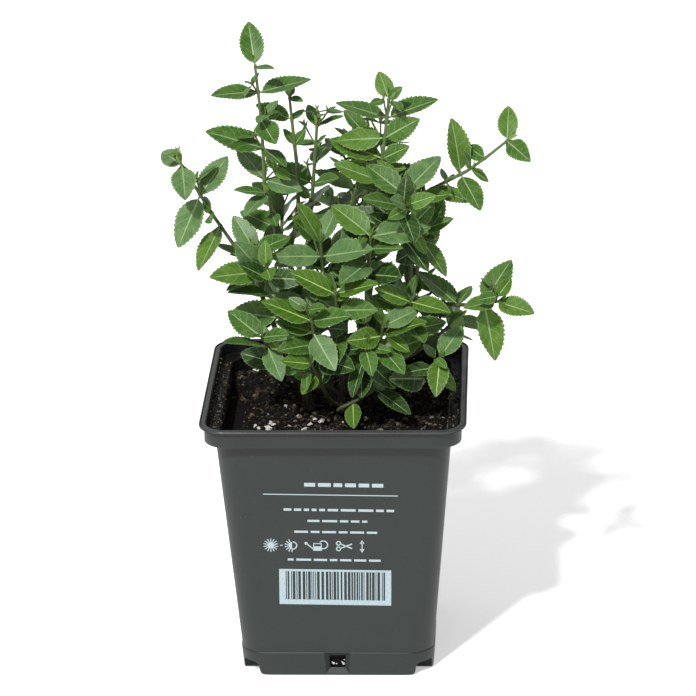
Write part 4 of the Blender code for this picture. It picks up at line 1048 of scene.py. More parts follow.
def margin_share(step):
    """How far along the blade a margin point stands: even steps are notches and odd ones are teeth."""
    return (step // 2 + (TOOTH_TIP if step % 2 else 0)) / TEETH


def half_width(share):
    """Half a blade's width at a share of its length: ovate, widest at two fifths."""
    return LEAF_WIDTH / 2 * math.sin(math.pi * min(share, 1.0) ** 0.756) ** 0.72


def blade_point(row, column, under):
    """Where a point of the flat grid goes: row counts from the leaf's root, column from -1 to 1."""
    step = round(row * MARGIN_STEPS) - MARGIN_STEPS
    if step < 0:
        x, half, tooth = STALK * row, STALK_HALF, 0
    else:
        share = margin_share(step)
        fade = math.sin(math.pi * share) ** 0.6 if 0 < share < 1 else 0.0
        tooth = TOOTH * fade * (1 if step % 2 else -0.4)
        half = max(half_width(share), STALK_HALF) if share < 1 else 0.0
        x = STALK + (1 - STALK) * share
    slant = 0.4 * x * max(1 - x, 0) * (row > 1)
    off = abs(column)
    if under:
        wide, lift = off * half, -BLADE_THICK * (1 - off) * (half > 0)
    elif off < 0.3:
        wide, lift = min(MIDRIB_HALF * (1.1 - 0.8 * x), half * 0.6), 0.0
    elif off < 0.8:
        wide, lift = half * 0.55, PUCKER * (half > 0.05) * (1 + 0.5 * (-1) ** round(row))
    else:
        wide, lift = half, 0.0
    outward = math.copysign(wide + tooth * (off > 0.9), column) if column else 0.0
    if row <= 1 and not under:
        lift += BLADE_THICK * 0.3
    return Vector((x - slant * 0.22 * (1 - off), outward, lift))


def flat_blade():
    """A flat leaf of unit length along +X: an upper sheet with its midrib, and an underside, closed
    along the toothed margin. Its faces are marked 0 for the blade, 1 for midrib and stalk, 2 below."""
    whole = bmesh.new()
    for under, columns in ((False, 5), (True, 2)):
        sheet = bmesh.new()
        bmesh.ops.create_grid(sheet, x_segments=BLADE_ROWS, y_segments=columns, size=1.0)
        first = -1 + 2 / BLADE_ROWS
        margin = [
            edge for edge in sheet.edges
            if all(abs(v.co.y) > 0.99 and v.co.x > first - 0.01 for v in edge.verts)
        ]
        bmesh.ops.bisect_edges(sheet, edges=margin, cuts=MARGIN_STEPS - 1)
        layer = sheet.loops.layers.uv.new("blade")
        for face in sheet.faces:
            middle = face.calc_center_median()
            stalk = middle.x < first
            face.material_index = 2 if under else int(stalk or abs(middle.y) < 0.1)
        places = {}
        for vert in sheet.verts:
            row, column = (vert.co.x + 1) / 2 * BLADE_ROWS, vert.co.y
            places[vert] = blade_point(row, column, under), column
        for face in sheet.faces:
            for loop in face.loops:
                place, column = places[loop.vert]
                loop[layer].uv = (place.x, 0.5 + column / 2)
        for vert, (place, _) in places.items():
            vert.co = place
        if under:
            bmesh.ops.reverse_faces(sheet, faces=sheet.faces)
        join(whole, sheet)
    bmesh.ops.remove_doubles(whole, verts=whole.verts, dist=0.0002)
    bmesh.ops.holes_fill(whole, edges=[edge for edge in whole.edges if edge.is_boundary], sides=0)
    return mesh_of("flat_blade", whole)


def lay_leaf(flat, leaf, tint, dice):
    """A leaf's own mesh: folded at its midrib, arched, twisted and a little wavy, then set in its place."""
    bm = bmesh.new()
    bm.from_mesh(flat)
    folded = leaf.age == FOLDED
    fold = dice.uniform(*(TIP_FOLD if folded else FOLD))
    arch = dice.uniform(*ARCH)
    twist = math.radians(dice.uniform(*TWIST))
    sickle = dice.uniform(*SICKLE)
    curl = dice.uniform(*CURL)
    wave, phase = dice.uniform(*WAVE_RISE), dice.uniform(0, math.tau)
    slender = dice.uniform(*(TIP_SLENDER if folded else SLENDER))
    for vert in bm.verts:
        x, y, z = vert.co
        share = max(0.0, (x - STALK) / (1 - STALK))
        off = abs(y)
        rise = fold * off * min(1.0, 0.4 + 2.5 * share) - curl * off * off / LEAF_WIDTH
        swing = math.tau * WAVES * share + phase + (WAVE_LAG if y > 0 else 0)
        rise += wave * math.sin(swing) * off / (LEAF_WIDTH / 2)
        bent = Vector((x, y * slender + sickle * share**2, z + rise))
        bent = Matrix.Rotation(twist * (share - 0.3), 3, "X") @ bent
        bent.z -= arch * share**2
        vert.co = bent
    for face in bm.faces:
        if face.material_index == 0:
            face.material_index = tint
        else:
            face.material_index += TINTS - 1 + 2 * (tint >= FRESH)
    bmesh.ops.transform(bm, matrix=leaf.seat @ Matrix.Scale(leaf.length, 4), verts=bm.verts)
    return bm


def choose_tint(leaf, dice):
    """Which green a leaf has: dark and greyed towards a twig's foot, fresh at its tip. The dark green is a
    painted shade, and the greyed, bluish one a painted sheen.
    """
    mark = leaf.age * 0.35 + dice.uniform(-0.32, 0.32)
    if leaf.tint is not None:
        return leaf.tint
    for tint, limit in enumerate(TINT_LIMITS):
        if mark < limit:
            return tint
    return FRESH


def noded(twig):
    """A twig's rings: even steps along it, with a swelling at each pair of leaves."""
    length = length_of(twig.line)
    joints = [pair_share(twig.pairs, number) for number in range(twig.pairs)]
    steps = max(3, round(length / TWIG_RING_STEP))
    shares = {round(i / steps, 4) for i in range(steps + 1)}
    for joint in joints:
        shares |= {round(joint + off / length, 4) for off in (-0.8, 0.0, 0.8)}
    rings = sorted(share for share in shares if 0 <= share <= 1)
    line, radii = [], []
    for share in rings:
        line.append(point_at(twig.line, share)[0])
        swell = max(math.exp(-(((share - joint) * length / TWIG_JOINT_HALF) ** 2)) for joint in joints)
        radius = twig.radii[0] + (twig.radii[-1] - twig.radii[0]) * share
        radii.append(radius * (1 + TWIG_SWELL * swell))
    radii[-1] *= 0.6
    return line, radii


def bud_mesh(flat, root, axis, direction):
    """A pointed green bud in a leaf's axil."""
    bm = bmesh.new()
    bm.from_mesh(flat)
    way = (axis * 0.8 + direction * 0.6).normalized()
    place = root + direction * 0.55 + axis * 0.5
    bmesh.ops.transform(bm, matrix=leaf_seat(place, way, axis) @ Matrix.Scale(BUD, 4), verts=bm.verts)
    return bm


def bud_form():
    bm = bmesh.new()
    bmesh.ops.create_icosphere(bm, subdivisions=1, radius=1.0)
    for vert in bm.verts:
        narrow = 0.55 * (1 - 0.35 * max(0.0, vert.co.x))
        vert.co = Vector((vert.co.x, vert.co.y * narrow, vert.co.z * narrow))
    return mesh_of("bud_form", bm)


def make_mass(name, twigs, leaves, looks, forms, dice):
    """A mass of foliage: one piece for its leaves and one for its twigs and buds."""
    blade, bud = forms
    foliage, wood = bmesh.new(), bmesh.new()
    for number, twig in enumerate(twigs):
        line, radii = noded(twig)
        if number == 0:
            line.insert(0, line[0] - (line[1] - line[0]).normalized() * MEET)
            radii.insert(0, radii[0])
        join(wood, sweep(line, radii, FINE_TWIG_SIDES))
        leaves = leaves + tip_leaves(twig, dice)
    for leaf in leaves:
        join(foliage, lay_leaf(blade, leaf, choose_tint(leaf, dice), dice))
        if leaf.age != FOLDED:
            join(wood, bud_mesh(bud, leaf.seat.translation, leaf.axis, leaf.seat.to_3x3().col[0]))
    piece = add_piece(name + "_leaves", foliage, looks["leaves"], sharp=55)
    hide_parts(name)
    stems = add_piece(name + "_twigs", wood, [looks["shoot"]], sharp=60)


def bark_limb(name, line, radii, sides, relief, look):
    """A limb with its bark's relief: cracks and ridges that run along it, and rings where leaves stood."""
    length = length_of(line)
    steps = round(length / RING_STEP)
    rings, sizes = [], []
    for i in range(steps + 1):
        share = i / steps
        rings.append(point_at(line, share)[0])
        spot = share * (len(radii) - 1)
        low = min(int(spot), len(radii) - 2)
        radius = radii[low] + (radii[low + 1] - radii[low]) * (spot - low)
        swell = math.exp(-(((share * length) % JOINT_STEP - JOINT_STEP / 2) / JOINT_HALF) ** 2)
        sizes.append(radius * (1 + JOINT_SWELL * swell))
    bm = sweep(rings, sizes, sides)
    bm.normal_update()
    for vert in bm.verts:
        spot = Vector((vert.co.x * 1.3, vert.co.y * 1.3, vert.co.z * 0.3))
        vert.co += vert.normal * relief * noise.noise(spot + Vector((7, 3, 5)))
    piece = add_piece(name + "_bark", bm, [look], sharp=60)
    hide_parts(name)


def make_plant():
    looks = leaf_looks()
    forms = flat_blade(), bud_form()
    crowd = Crowd()
    stem_lines = {}
    for name, points in STEMS.items():
        line = smooth_line(points, STEM_STEPS)
        stem_lines[name] = line
        line = flat_foot(line)
        radii = stem_radii(line)
        crowd.add(*solid_shape(line, radii, STEM_SIDES), name)
        slim = [min(radius, STEM_RADIUS * SLIM_FLARE) * SLIM for radius in radii]
        bark_limb(name, line, slim, FINE_STEM_SIDES, BARK_RELIEF, looks["bark"])
    twigs = {}
    for name, shoot in SHOOTS.items():
        twigs[name] = [main_twig(shoot, stem_lines[shoot.stem])]
        crowd.add(*solid_shape(twigs[name][0].line, twigs[name][0].radii, TWIG_SIDES), name)
        if shoot.share == 1.0:
            continue
        stem_radius = STEM_RADIUS + (STEM_TIP_RADIUS - STEM_RADIUS) * shoot.share
        line = bough_line(stem_lines[shoot.stem], shoot, stem_radius)
        radii = taper(BOUGH_RADIUS, BOUGH_TIP_RADIUS, len(line))
        crowd.add(*solid_shape(line, radii, BOUGH_SIDES), name + "_bough")
        start = point_at(stem_lines[shoot.stem], shoot.share)[0]
        line = [start] + line[:-1] + [Vector(shoot.foot)]
        radii = [BOUGH_RADIUS * 1.15] + radii
        look = looks["young_bark"]
        bark_limb(name + "_bough", line, radii, FINE_BOUGH_SIDES, YOUNG_BARK_RELIEF, look)
    grown = {}
    for name, shoot in SHOOTS.items():
        grown[name] = grow_outer_leaves(name, shoot, twigs[name][0].line, crowd)
    for number, (name, shoot) in enumerate(SHOOTS.items()):
        grown[name] += grow_shoot(name, shoot, number, crowd, twigs)
    print("leaves of the construction:", sum(len(leaves) for leaves in grown.values()))
    for number, name in enumerate(SHOOTS):
        dice = random.Random(FINE_SEED + number)
        reach = [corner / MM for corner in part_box(name)]
        grown[name] += grow_sprigs(name, grown[name], twigs[name], reach, crowd, dice)
        make_mass(name, twigs[name], grown[name], looks, forms, dice)
    print("leaves with the finer ones:", sum(len(leaves) for leaves in grown.values()))


# Pot


def body_half(height):
    """Half the outer width of the tapered body."""
    return BODY_FOOT_HALF + (BODY_TOP_HALF - BODY_FOOT_HALF) * height / BAND_FOOT


def square_ring(bm, half, radius, height, middle=0.0):
    """A flat square face with round corners, whose middle may stand off along both X and Y."""
    before = set(bm.faces)
    place = Matrix.Translation((middle, middle, height))
    made = bmesh.ops.create_grid(bm, x_segments=1, y_segments=1, size=half, matrix=place)
    if radius:
        bmesh.ops.bevel(
            bm, geom=made["verts"], offset=radius, offset_type="OFFSET", segments=CORNER_STEPS,
            profile=0.5, affect="VERTICES", material=-1,
        )
    return [face for face in bm.faces if face not in before][0]


def loft(rings):
    """A closed solid through square rings, listed from below."""
    bm = bmesh.new()
    caps = [square_ring(bm, *ring) for ring in rings]
    loops = [list(cap.edges) for cap in caps]
    bmesh.ops.delete(bm, geom=caps[1:-1], context="FACES_ONLY")
    for low, high in zip(loops, loops[1:]):
        bmesh.ops.bridge_loops(bm, edges=low + high)
    bmesh.ops.recalc_face_normals(bm, faces=bm.faces)
    return bm


def rounding(half, height, radius, start, end, steps=4):
    """Points (half width, height) on an arc round this middle, from one angle to another."""
    points = []
    for step in range(steps + 1):
        angle = math.radians(start + (end - start) * step / steps)
        points.append((half + radius * math.cos(angle), height + radius * math.sin(angle)))
    return points


def cutter(name, bm):
    bmesh.ops.recalc_face_normals(bm, faces=bm.faces)
    return place_object(name, mesh_of(name, bm))


def cut(bm, cutters):
    """Takes the cutters away from a bmesh."""
    thing = cutter("uncut", bm)
    for other in cutters:
        boolean = thing.modifiers.new(other.name, "BOOLEAN")
        boolean.operation = "DIFFERENCE"
        boolean.object = other
    graph = bpy.context.evaluated_depsgraph_get()
    mesh = bpy.data.meshes.new_from_object(thing.evaluated_get(graph))
    for other in cutters + [thing]:
        bpy.data.objects.remove(other)
    done = bmesh.new()
    done.from_mesh(mesh)
    bpy.data.meshes.remove(mesh)
    return done


def notch_cutters(offset, top):
    """Cutters that raise the underside's corners, and leave the panels' ends with an S-shaped edge."""
    inner = NOTCH_HALF - offset
    profile = [(-1.6, -5), (-1.6, 0), (-0.95, 0.22), (-0.4, 0.7), (-0.08, 1.4), (0, 2.2)]
    profile += [(0.12, top - 1.6), (0.5, top - 0.7), (1.1, top - 0.2), (1.8, top)]
    cutters = []
    for quarter in range(4):
        rings = []
        for shift, height in profile:
            half = (CUTTER_FAR - (inner + shift)) / 2
            rings.append((half, 0, height, inner + shift + half))
        bm = loft(rings)
        bmesh.ops.rotate(bm, matrix=Matrix.Rotation(quarter * math.pi / 2, 3, "Z"), verts=bm.verts)
        cutters.append(cutter(f"notch_{quarter}", bm))
    return cutters


def window_cutter(turn):
    """A cutter for a drain window, which narrows like a funnel through the wall."""
    outer, inner = body_half(4) + PANEL_PROUD, body_half(4) - WALL
    bm = bmesh.new()
    bmesh.ops.create_cube(bm, size=1.0)
    for vert in bm.verts:
        depth = WINDOW_DRAWN if vert.co.y < 0 else -0.05
        half, low, high = [b + (a - b) * depth for a, b in zip(WINDOW_MOUTH, WINDOW_THROAT)]
        place = -inner - (outer - inner) * depth
        vert.co = (math.copysign(half, vert.co.x), place, high if vert.co.z > 0 else low)
    throat = [face for face in bm.faces if face.calc_center_median().y > -inner]
    made = bmesh.ops.extrude_face_region(bm, geom=throat)["geom"]
    ends = [part for part in made if isinstance(part, bmesh.types.BMVert)]
    bmesh.ops.translate(bm, vec=(0, WINDOW_DEPTH, 0), verts=ends)
    bmesh.ops.delete(bm, geom=throat, context="FACES_ONLY")
    bmesh.ops.transform(bm, matrix=turn, verts=bm.verts)
    return bm


def pot_body():
    """The pot's outside, from the foot's panels to the lip, less its inside, corners, windows and holes."""
    panel = body_half(PANEL_TOP) + PANEL_PROUD
    foot, strip, flange = body_half(0), body_half(BAND_LOW - 1.7), POT_HEIGHT - FLANGE_THICK
    outside = [
        (foot + 0.2, 0), (foot + 0.5, 0.35), (panel, PANEL_TOP - 0.75), (panel - 0.06, PANEL_TOP - 0.35),
        (panel - 0.22, PANEL_TOP - 0.12), (body_half(PANEL_TOP), PANEL_TOP),
        (body_half(PANEL_TOP + 0.4), PANEL_TOP + 0.4), (body_half(30), 30), (body_half(60), 60),
        (strip, BAND_LOW - 1.7), (strip + 0.2, BAND_LOW - 1.55), (strip + 0.3, BAND_LOW - 0.05),
        (strip + 0.6, BAND_LOW), *rounding(BAND_HALF - 0.5, BAND_LOW + 0.5, 0.5, -90, 0), (BAND_HALF, 91.6),
        (BAND_HALF + 0.05, flange - 0.4), (BAND_HALF + 0.35, flange),
        *rounding(FLANGE_HALF - 0.25, flange + 0.25, 0.25, -90, 0, 2),
        *rounding(FLANGE_HALF - 0.35, POT_HEIGHT - 0.35, 0.35, 10, 90),
        (FLANGE_HALF - 0.7, POT_HEIGHT - 0.25), (FLANGE_HALF - FLANGE_RING, POT_HEIGHT - 0.25),
        (FLANGE_HALF - FLANGE_RING - 0.3, POT_HEIGHT),
    ]
    rim = FLANGE_HALF - 0.5 - FLANGE_RING
    inside = [
        (body_half(FLOOR_THICK) - WALL, FLOOR_THICK), (body_half(45) - WALL, 45),
        (BODY_TOP_HALF - WALL, BAND_FOOT + 0.9), (BODY_TOP_HALF - WALL + 0.3, BAND_FOOT + 1.2),
        (BAND_HALF - WALL - 0.5, BAND_FOOT + 1.4), (BAND_HALF - WALL - 0.05, BAND_FOOT + 1.9),
        (rim - 0.5, POT_HEIGHT - 0.5), (rim - 0.35, POT_HEIGHT - 0.15), (rim, POT_HEIGHT),
        (rim, POT_HEIGHT + 5),
    ]

    def rings(profile, thick):
        """A profile's rings, with the pot's corner radius at each height, less the wall's thickness."""
        made = []
        for half, height in profile:
            share = min(height / BAND_FOOT, 1.0)
            radius = CORNER_FOOT + (CORNER_TOP - CORNER_FOOT) * share
            if height > flange and not thick:
                radius = CORNER_FLANGE
            elif height < PANEL_TOP and not thick:
                radius += PANEL_PROUD * 3.4  # so that the panel ends where the corner begins
            made.append((half, radius - thick, height))
        return made

    hollow = cut(loft(rings(inside, WALL)), notch_cutters(WALL, NOTCH_TOP + FLOOR_THICK))
    cutters = [cutter("hollow", hollow)] + notch_cutters(0, NOTCH_TOP)
    for side in range(4):
        turn = Matrix.Rotation(side * math.pi / 2, 4, "Z")
        cutters.append(cutter(f"window_{side}", window_cutter(turn)))
        angle = (side + 0.5) * math.pi / 2
        place = Matrix.Translation((DRAIN_RING * math.cos(angle), DRAIN_RING * math.sin(angle), 0))
        bm = bmesh.new()
        bmesh.ops.create_cone(
            bm, cap_ends=True, segments=28, radius1=DRAIN_RADIUS, radius2=DRAIN_RADIUS, depth=10, matrix=place
        )
        cutters.append(cutter(f"drain_{side}", bm))
    return cut(loft(rings(outside, 0)), cutters)


def make_pot():
    bm = pot_body()
    bmesh.ops.dissolve_degenerate(bm, edges=bm.edges, dist=0.01)
    for face in bm.faces:
        middle = face.calc_center_median()
        inward = face.normal.x * middle.x + face.normal.y * middle.y < -1
        top = face.normal.z > 0.5 and PANEL_TOP + 1 < middle.z < POT_HEIGHT - 1
        near, far = sorted((abs(middle.x), abs(middle.y)))
        notch = near > NOTCH_INSIDE and far < body_half(0) - 0.8 and middle.z < NOTCH_TOP + 0.2
        # The inner walls, the ledge and the raised corners' recesses take the near-black plastic: painted
        # shade, under real specks of dust
        if notch or (inward or top) and middle.z > FLOOR_THICK - 0.1:
            face.material_index = 1
        # The flange takes a paler, glossier plastic: its paler colour is a painted highlight
        elif middle.z > POT_HEIGHT - FLANGE_THICK - 0.2:
            face.material_index = 2
    # The inside's near-black is a painted shade, with real specks of dust on it
    looks = [
        ("outside", "#242a28", "#2c3130", 0.03, (0.42, 0.56), 0.35),
        ("dusty_inside", "#060706", "#12110f", 0.16, (0.4, 0.6), 0.22),
        # The rim's paler colour is a painted highlight; it is also glossier
        ("rubbed_rim", "#2b2f2e", "#3f4240", 0.05, (0.18, 0.34), 0.55),
    ]
    plastics = [material("polypropylene_" + name, moulded_polypropylene, *values) for name, *values in looks]
    pot = add_piece("nursery_pot", bm, plastics, sharp=32)
    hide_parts("pot")


def on_front(x, height):
    """The matrix that lays a flat shape on the pot's front: its X to the right, its Y up the face."""
    slope = math.atan2(BODY_TOP_HALF - BODY_FOOT_HALF, BAND_FOOT)
    turn = Matrix.Rotation(math.pi / 2 + slope, 4, "X")
    return Matrix.Translation((x, -body_half(height), height)) @ turn


def ink_bar(bm, left, right, low, high, turn=0.0):
    """A flat bar of ink on the pot's front."""
    size = Matrix.Diagonal((right - left, high - low, INK_THICK * 2, 1))
    place = on_front((left + right) / 2, (low + high) / 2) @ Matrix.Rotation(math.radians(turn), 4, "Z")
    bmesh.ops.create_cube(bm, size=1.0, matrix=place @ size)


def ink_disc(bm, x, height, radius, hole=0.01, start=0.0, arc=360.0):
    """A disc of ink, or a ring, or a part of either."""
    part = bmesh.new()
    section = [(hole, -INK_THICK), (radius, -INK_THICK), (radius, INK_THICK), (hole, INK_THICK)]
    ends = [part.verts.new((out, 0, up)) for out, up in section]
    edges = [part.edges.new(pair) for pair in zip(ends, ends[1:] + ends[:1])]
    bmesh.ops.spin(
        part, geom=edges, cent=(0, 0, 0), axis=(0, 0, 1), angle=math.radians(arc),
        steps=max(4, round(arc / 15)), use_merge=arc >= 360,
    )
    if arc < 360:
        bmesh.ops.holes_fill(part, edges=[edge for edge in part.edges if edge.is_boundary], sides=0)
    bmesh.ops.recalc_face_normals(part, faces=part.faces)
    place = on_front(x, height) @ Matrix.Rotation(math.radians(start), 4, "Z")
    bmesh.ops.transform(part, matrix=place, verts=part.verts)
    join(bm, part)


def draw_sun(bm, x, height, half=False):
    """A plain sun: a disc with rays, or its left half beside a half ring."""
    if half:
        ink_disc(bm, x, height, 1.25, start=90, arc=180)
        ink_disc(bm, x + 0.2, height, 1.6, hole=1.2, start=-90, arc=180)
    else:
        ink_disc(bm, x, height, 1.2)
    for ray in range(SUN_RAYS):
        angle = math.tau * (ray + 0.5) / SUN_RAYS
        if half and math.cos(angle) > 0:
            continue
        size = Matrix.Diagonal((1.5, 0.34, INK_THICK * 2, 1))
        turn = Matrix.Rotation(angle, 4, "Z") @ Matrix.Translation((1.8, 0, 0)) @ size
        bmesh.ops.create_cube(bm, size=1.0, matrix=on_front(x, height) @ turn)


def draw_can(bm, x, height):
    """A plain watering can."""
    ink_bar(bm, x - 1.3, x + 1.6, height - 1.9, height - 0.2)
    ink_bar(bm, x - 1.3, x + 1.6, height + 0.7, height + 1.0)
    for side in (x - 1.15, x + 1.45):
        ink_bar(bm, side - 0.15, side + 0.15, height - 0.2, height + 0.7)
    ink_disc(bm, x + 2.1, height + 0.4, 1.7, hole=1.3, start=-110, arc=250)
    ink_bar(bm, x - 4.0, x - 0.9, height - 0.4, height, turn=-40)
    ink_disc(bm, x - 3.7, height + 0.9, 0.55)


def draw_shears(bm, x, height):
    """Plain scissors, open to the right."""
    for side in (1, -1):
        ink_bar(bm, x - 1.5, x + 2.9, height - 0.22, height + 0.22, turn=24 * side)
        ink_disc(bm, x - 1.9, height + 1.05 * side, 0.9, hole=0.5)


def draw_height(bm, x, height):
    """An upright arrow with two heads, for a plant's height."""
    ink_bar(bm, x - 0.18, x + 0.18, height - 1.7, height + 1.7)
    for side in (1, -1):
        tip = bmesh.new()
        bmesh.ops.create_cone(
            tip, cap_ends=True, segments=3, radius1=0.95, radius2=0.95, depth=INK_THICK * 2,
            matrix=Matrix.Rotation(0 if side > 0 else math.pi, 4, "Z"),
        )
        bmesh.ops.transform(tip, matrix=on_front(x, height + 1.5 * side), verts=tip.verts)
        join(bm, tip)


def make_print():
    """Generic print on the pot's front: a label with stripes of no meaning, care signs, a rule and dashes."""
    dice = random.Random(PRINT_SEED)
    label, signs = bmesh.new(), bmesh.new()
    left, right = LABEL_SIDES
    low, high = LABEL_HEIGHTS
    stripe_left, stripe_right = STRIPE_SIDES
    stripe_low, stripe_high = STRIPE_HEIGHTS
    ink_bar(label, left, right, low, stripe_low)
    ink_bar(label, left, right, stripe_high, high)
    ink_bar(label, left, stripe_left, stripe_low, stripe_high)
    ink_bar(label, stripe_right, right, stripe_low, stripe_high)
    x = stripe_left
    while x < stripe_right - 0.6:
        x += dice.choice((0.3, 0.35, 0.6, 0.9))
        wide = dice.choice((0.25, 0.3, 0.35, 0.6))
        ink_bar(label, x, min(x + wide, stripe_right), stripe_low, stripe_high)
        x += wide
    draw_sun(signs, -21.7, SIGNS_HEIGHT)
    ink_bar(signs, -18.6, -17.6, SIGNS_HEIGHT - 0.15, SIGNS_HEIGHT + 0.15)
    draw_sun(signs, -14.5, SIGNS_HEIGHT, half=True)
    draw_can(signs, -6.0, SIGNS_HEIGHT)
    draw_shears(signs, 3.2, SIGNS_HEIGHT)
    draw_height(signs, 9.3, SIGNS_HEIGHT)
    ink_bar(signs, *RULE_SIDES, RULE_HEIGHT - 0.17, RULE_HEIGHT + 0.17)
    for height, x, end, tall in DASHED_LINES:
        while x < end - 0.8:
            wide = min(dice.uniform(1.6, 5.2), end - x)
            ink_bar(signs, x, x + wide, height - tall / 2, height + tall / 2)
            x += wide + 0.9
    middle = on_front(0, SIGNS_HEIGHT)
    lean = middle @ Matrix.Rotation(math.radians(PRINT_LEAN), 4, "Z") @ middle.inverted()
    inks = {
        "care_print": (signs, material("pale_screen_ink", screen_ink, "#b4c0c2", "#9babae")),
        "striped_label": (label, material("thin_label_ink", screen_ink, "#b3c5cb", "#8c9ea4")),
    }
    for name, (shapes, ink) in inks.items():
        bmesh.ops.transform(shapes, matrix=lean, verts=shapes.verts)
        add_piece(name, shapes, [ink])


# Soil


def surface(x, y):
    """The soil's height: lumpy, lower along the walls, with a deep gap in the front left corner."""
    edge = max(abs(x), abs(y)) / (body_half(SOIL_TOP) - WALL)
    height = SOIL_TOP - SOIL_EDGE_DROP * max(0.0, edge - 0.8) / 0.2
    depths = ((GAP_SIDE - x) / GAP_RAMPS[0], (GAP_BACK - y) / GAP_RAMPS[1])
    gap_x, gap_y = (min(max(share, 0.0), 1.0) for share in depths)
    height -= GAP_DEPTH * gap_x * gap_y
    for rise, pitch, seed in SOIL_LUMPS:
        height += rise * noise.noise(Vector((x * pitch, y * pitch, seed)))
    return height


def round_corner(x, y, half, radius):
    """Draws the corners of a square grid in to the pot's round ones."""
    a, b = (abs(x) - half + radius) / radius, (abs(y) - half + radius) / radius
    if a <= 0 or b <= 0:
        return x, y
    near_x = half - radius + radius * a * math.sqrt(1 - b * b / 2)
    near_y = half - radius + radius * b * math.sqrt(1 - a * a / 2)
    return math.copysign(near_x, x), math.copysign(near_y, y)


def soil_block():
    """The soil's lumpy top on the block that fills the pot."""
    half = body_half(SOIL_TOP) - WALL - SOIL_CLEAR
    top = bmesh.new()
    bmesh.ops.create_grid(top, x_segments=SOIL_GRID, y_segments=SOIL_GRID, size=half)
    for vert in top.verts:
        x, y = round_corner(vert.co.x, vert.co.y, half, CORNER_TOP - WALL)
        vert.co = (x, y, surface(x, y))
    rim = [edge for edge in top.edges if edge.is_boundary]
    made = bmesh.ops.extrude_edge_only(top, edges=rim)["geom"]
    below = [part for part in made if isinstance(part, bmesh.types.BMVert)]
    for vert in below:
        vert.co = (vert.co.x * 0.99, vert.co.y * 0.99, SOIL_TOP - SKIRT)
    bmesh.ops.holes_fill(top, edges=[edge for edge in top.edges if edge.is_boundary], sides=0)
    bmesh.ops.recalc_face_normals(top, faces=top.faces)

    def inner(height):
        return body_half(height) - WALL - SOIL_CLEAR

    foot = inner(FLOOR_THICK) - 1
    step = NOTCH_TOP + FLOOR_THICK + GAP
    rings = [(foot, foot - 3, FLOOR_THICK + GAP), (foot, foot - 3, step)]
    rings += [(inner(step), CORNER_FOOT - WALL, step + 0.1), (inner(BLOCK_TOP), CORNER_TOP - WALL, BLOCK_TOP)]
    join(top, loft(rings))
    return top


def chip_form(rough, detail, seed):
    """An uneven lump to copy for crumbs and grains."""
    bm = bmesh.new()
    bmesh.ops.create_icosphere(bm, subdivisions=detail, radius=1.0)
    for vert in bm.verts:
        vert.co *= 1 + rough * noise.noise(vert.co * 1.3 + Vector((seed, seed * 2, 5)))
    return mesh_of("chip", bm)


def add_chip(bm, form, place, size, dice, look):
    """Sets a turned copy of a lump in place."""
    mesh = form.copy()
    roll, tilt = dice.uniform(0, math.tau), dice.uniform(0, math.pi)
    turn = Matrix.Rotation(roll, 4, "Z") @ Matrix.Rotation(tilt, 4, "X")
    stretch = Matrix.Diagonal((dice.uniform(0.8, 1.4), dice.uniform(0.7, 1.0), dice.uniform(0.55, 0.9), 1))
    mesh.transform(Matrix.Translation(place) @ turn @ stretch @ Matrix.Scale(size, 4))
    for polygon in mesh.polygons:
        polygon.material_index = look
    bm.from_mesh(mesh)
    bpy.data.meshes.remove(mesh)


def soil_spot(half, dice):
    """A place on the soil, across and along."""
    return round_corner(dice.uniform(-half, half), dice.uniform(-half, half), half, CORNER_TOP - WALL)


def wall_spot(dice):
    """A place on the pot's inner wall or on the ledge round it, mostly on the left."""
    height = SOIL_TOP + SPECK_FOOT + SPECK_RISE * dice.random() ** SPECK_SKEW
    half = body_half(height) - WALL if height < BAND_FOOT + 0.9 else BAND_HALF - WALL
    if dice.random() < LEDGE_SHARE:
        height = BAND_FOOT + 1.4
        half = dice.uniform(BODY_TOP_HALF - WALL + 0.4, BAND_HALF - WALL - 0.2)
    side = dice.choice(DUSTY_SIDES)
    along = dice.uniform(-half + 7, half - 7)
    return Matrix.Rotation(side * math.pi / 2, 3, "Z") @ Vector((along, half - 0.05, height))


def peat_fibre(half, dice):
    """A thin bent fibre that lies on the soil."""
    x, y = dice.uniform(-half, half), dice.uniform(-half, half)
    heading = dice.uniform(0, math.tau)
    length = dice.uniform(*FIBRE_REACH)
    bend = dice.uniform(-FIBRE_BEND, FIBRE_BEND)
    line = []
    for step in range(FIBRE_STEPS):
        way = heading + bend * step
        line.append(Vector((x, y, surface(x, y) + 0.35 + 0.3 * math.sin(step))))
        x += math.cos(way) * length / FIBRE_STEPS
        y += math.sin(way) * length / FIBRE_STEPS
    return sweep(line, taper(FIBRE_RADIUS, FIBRE_TIP_RADIUS, FIBRE_STEPS), 3)


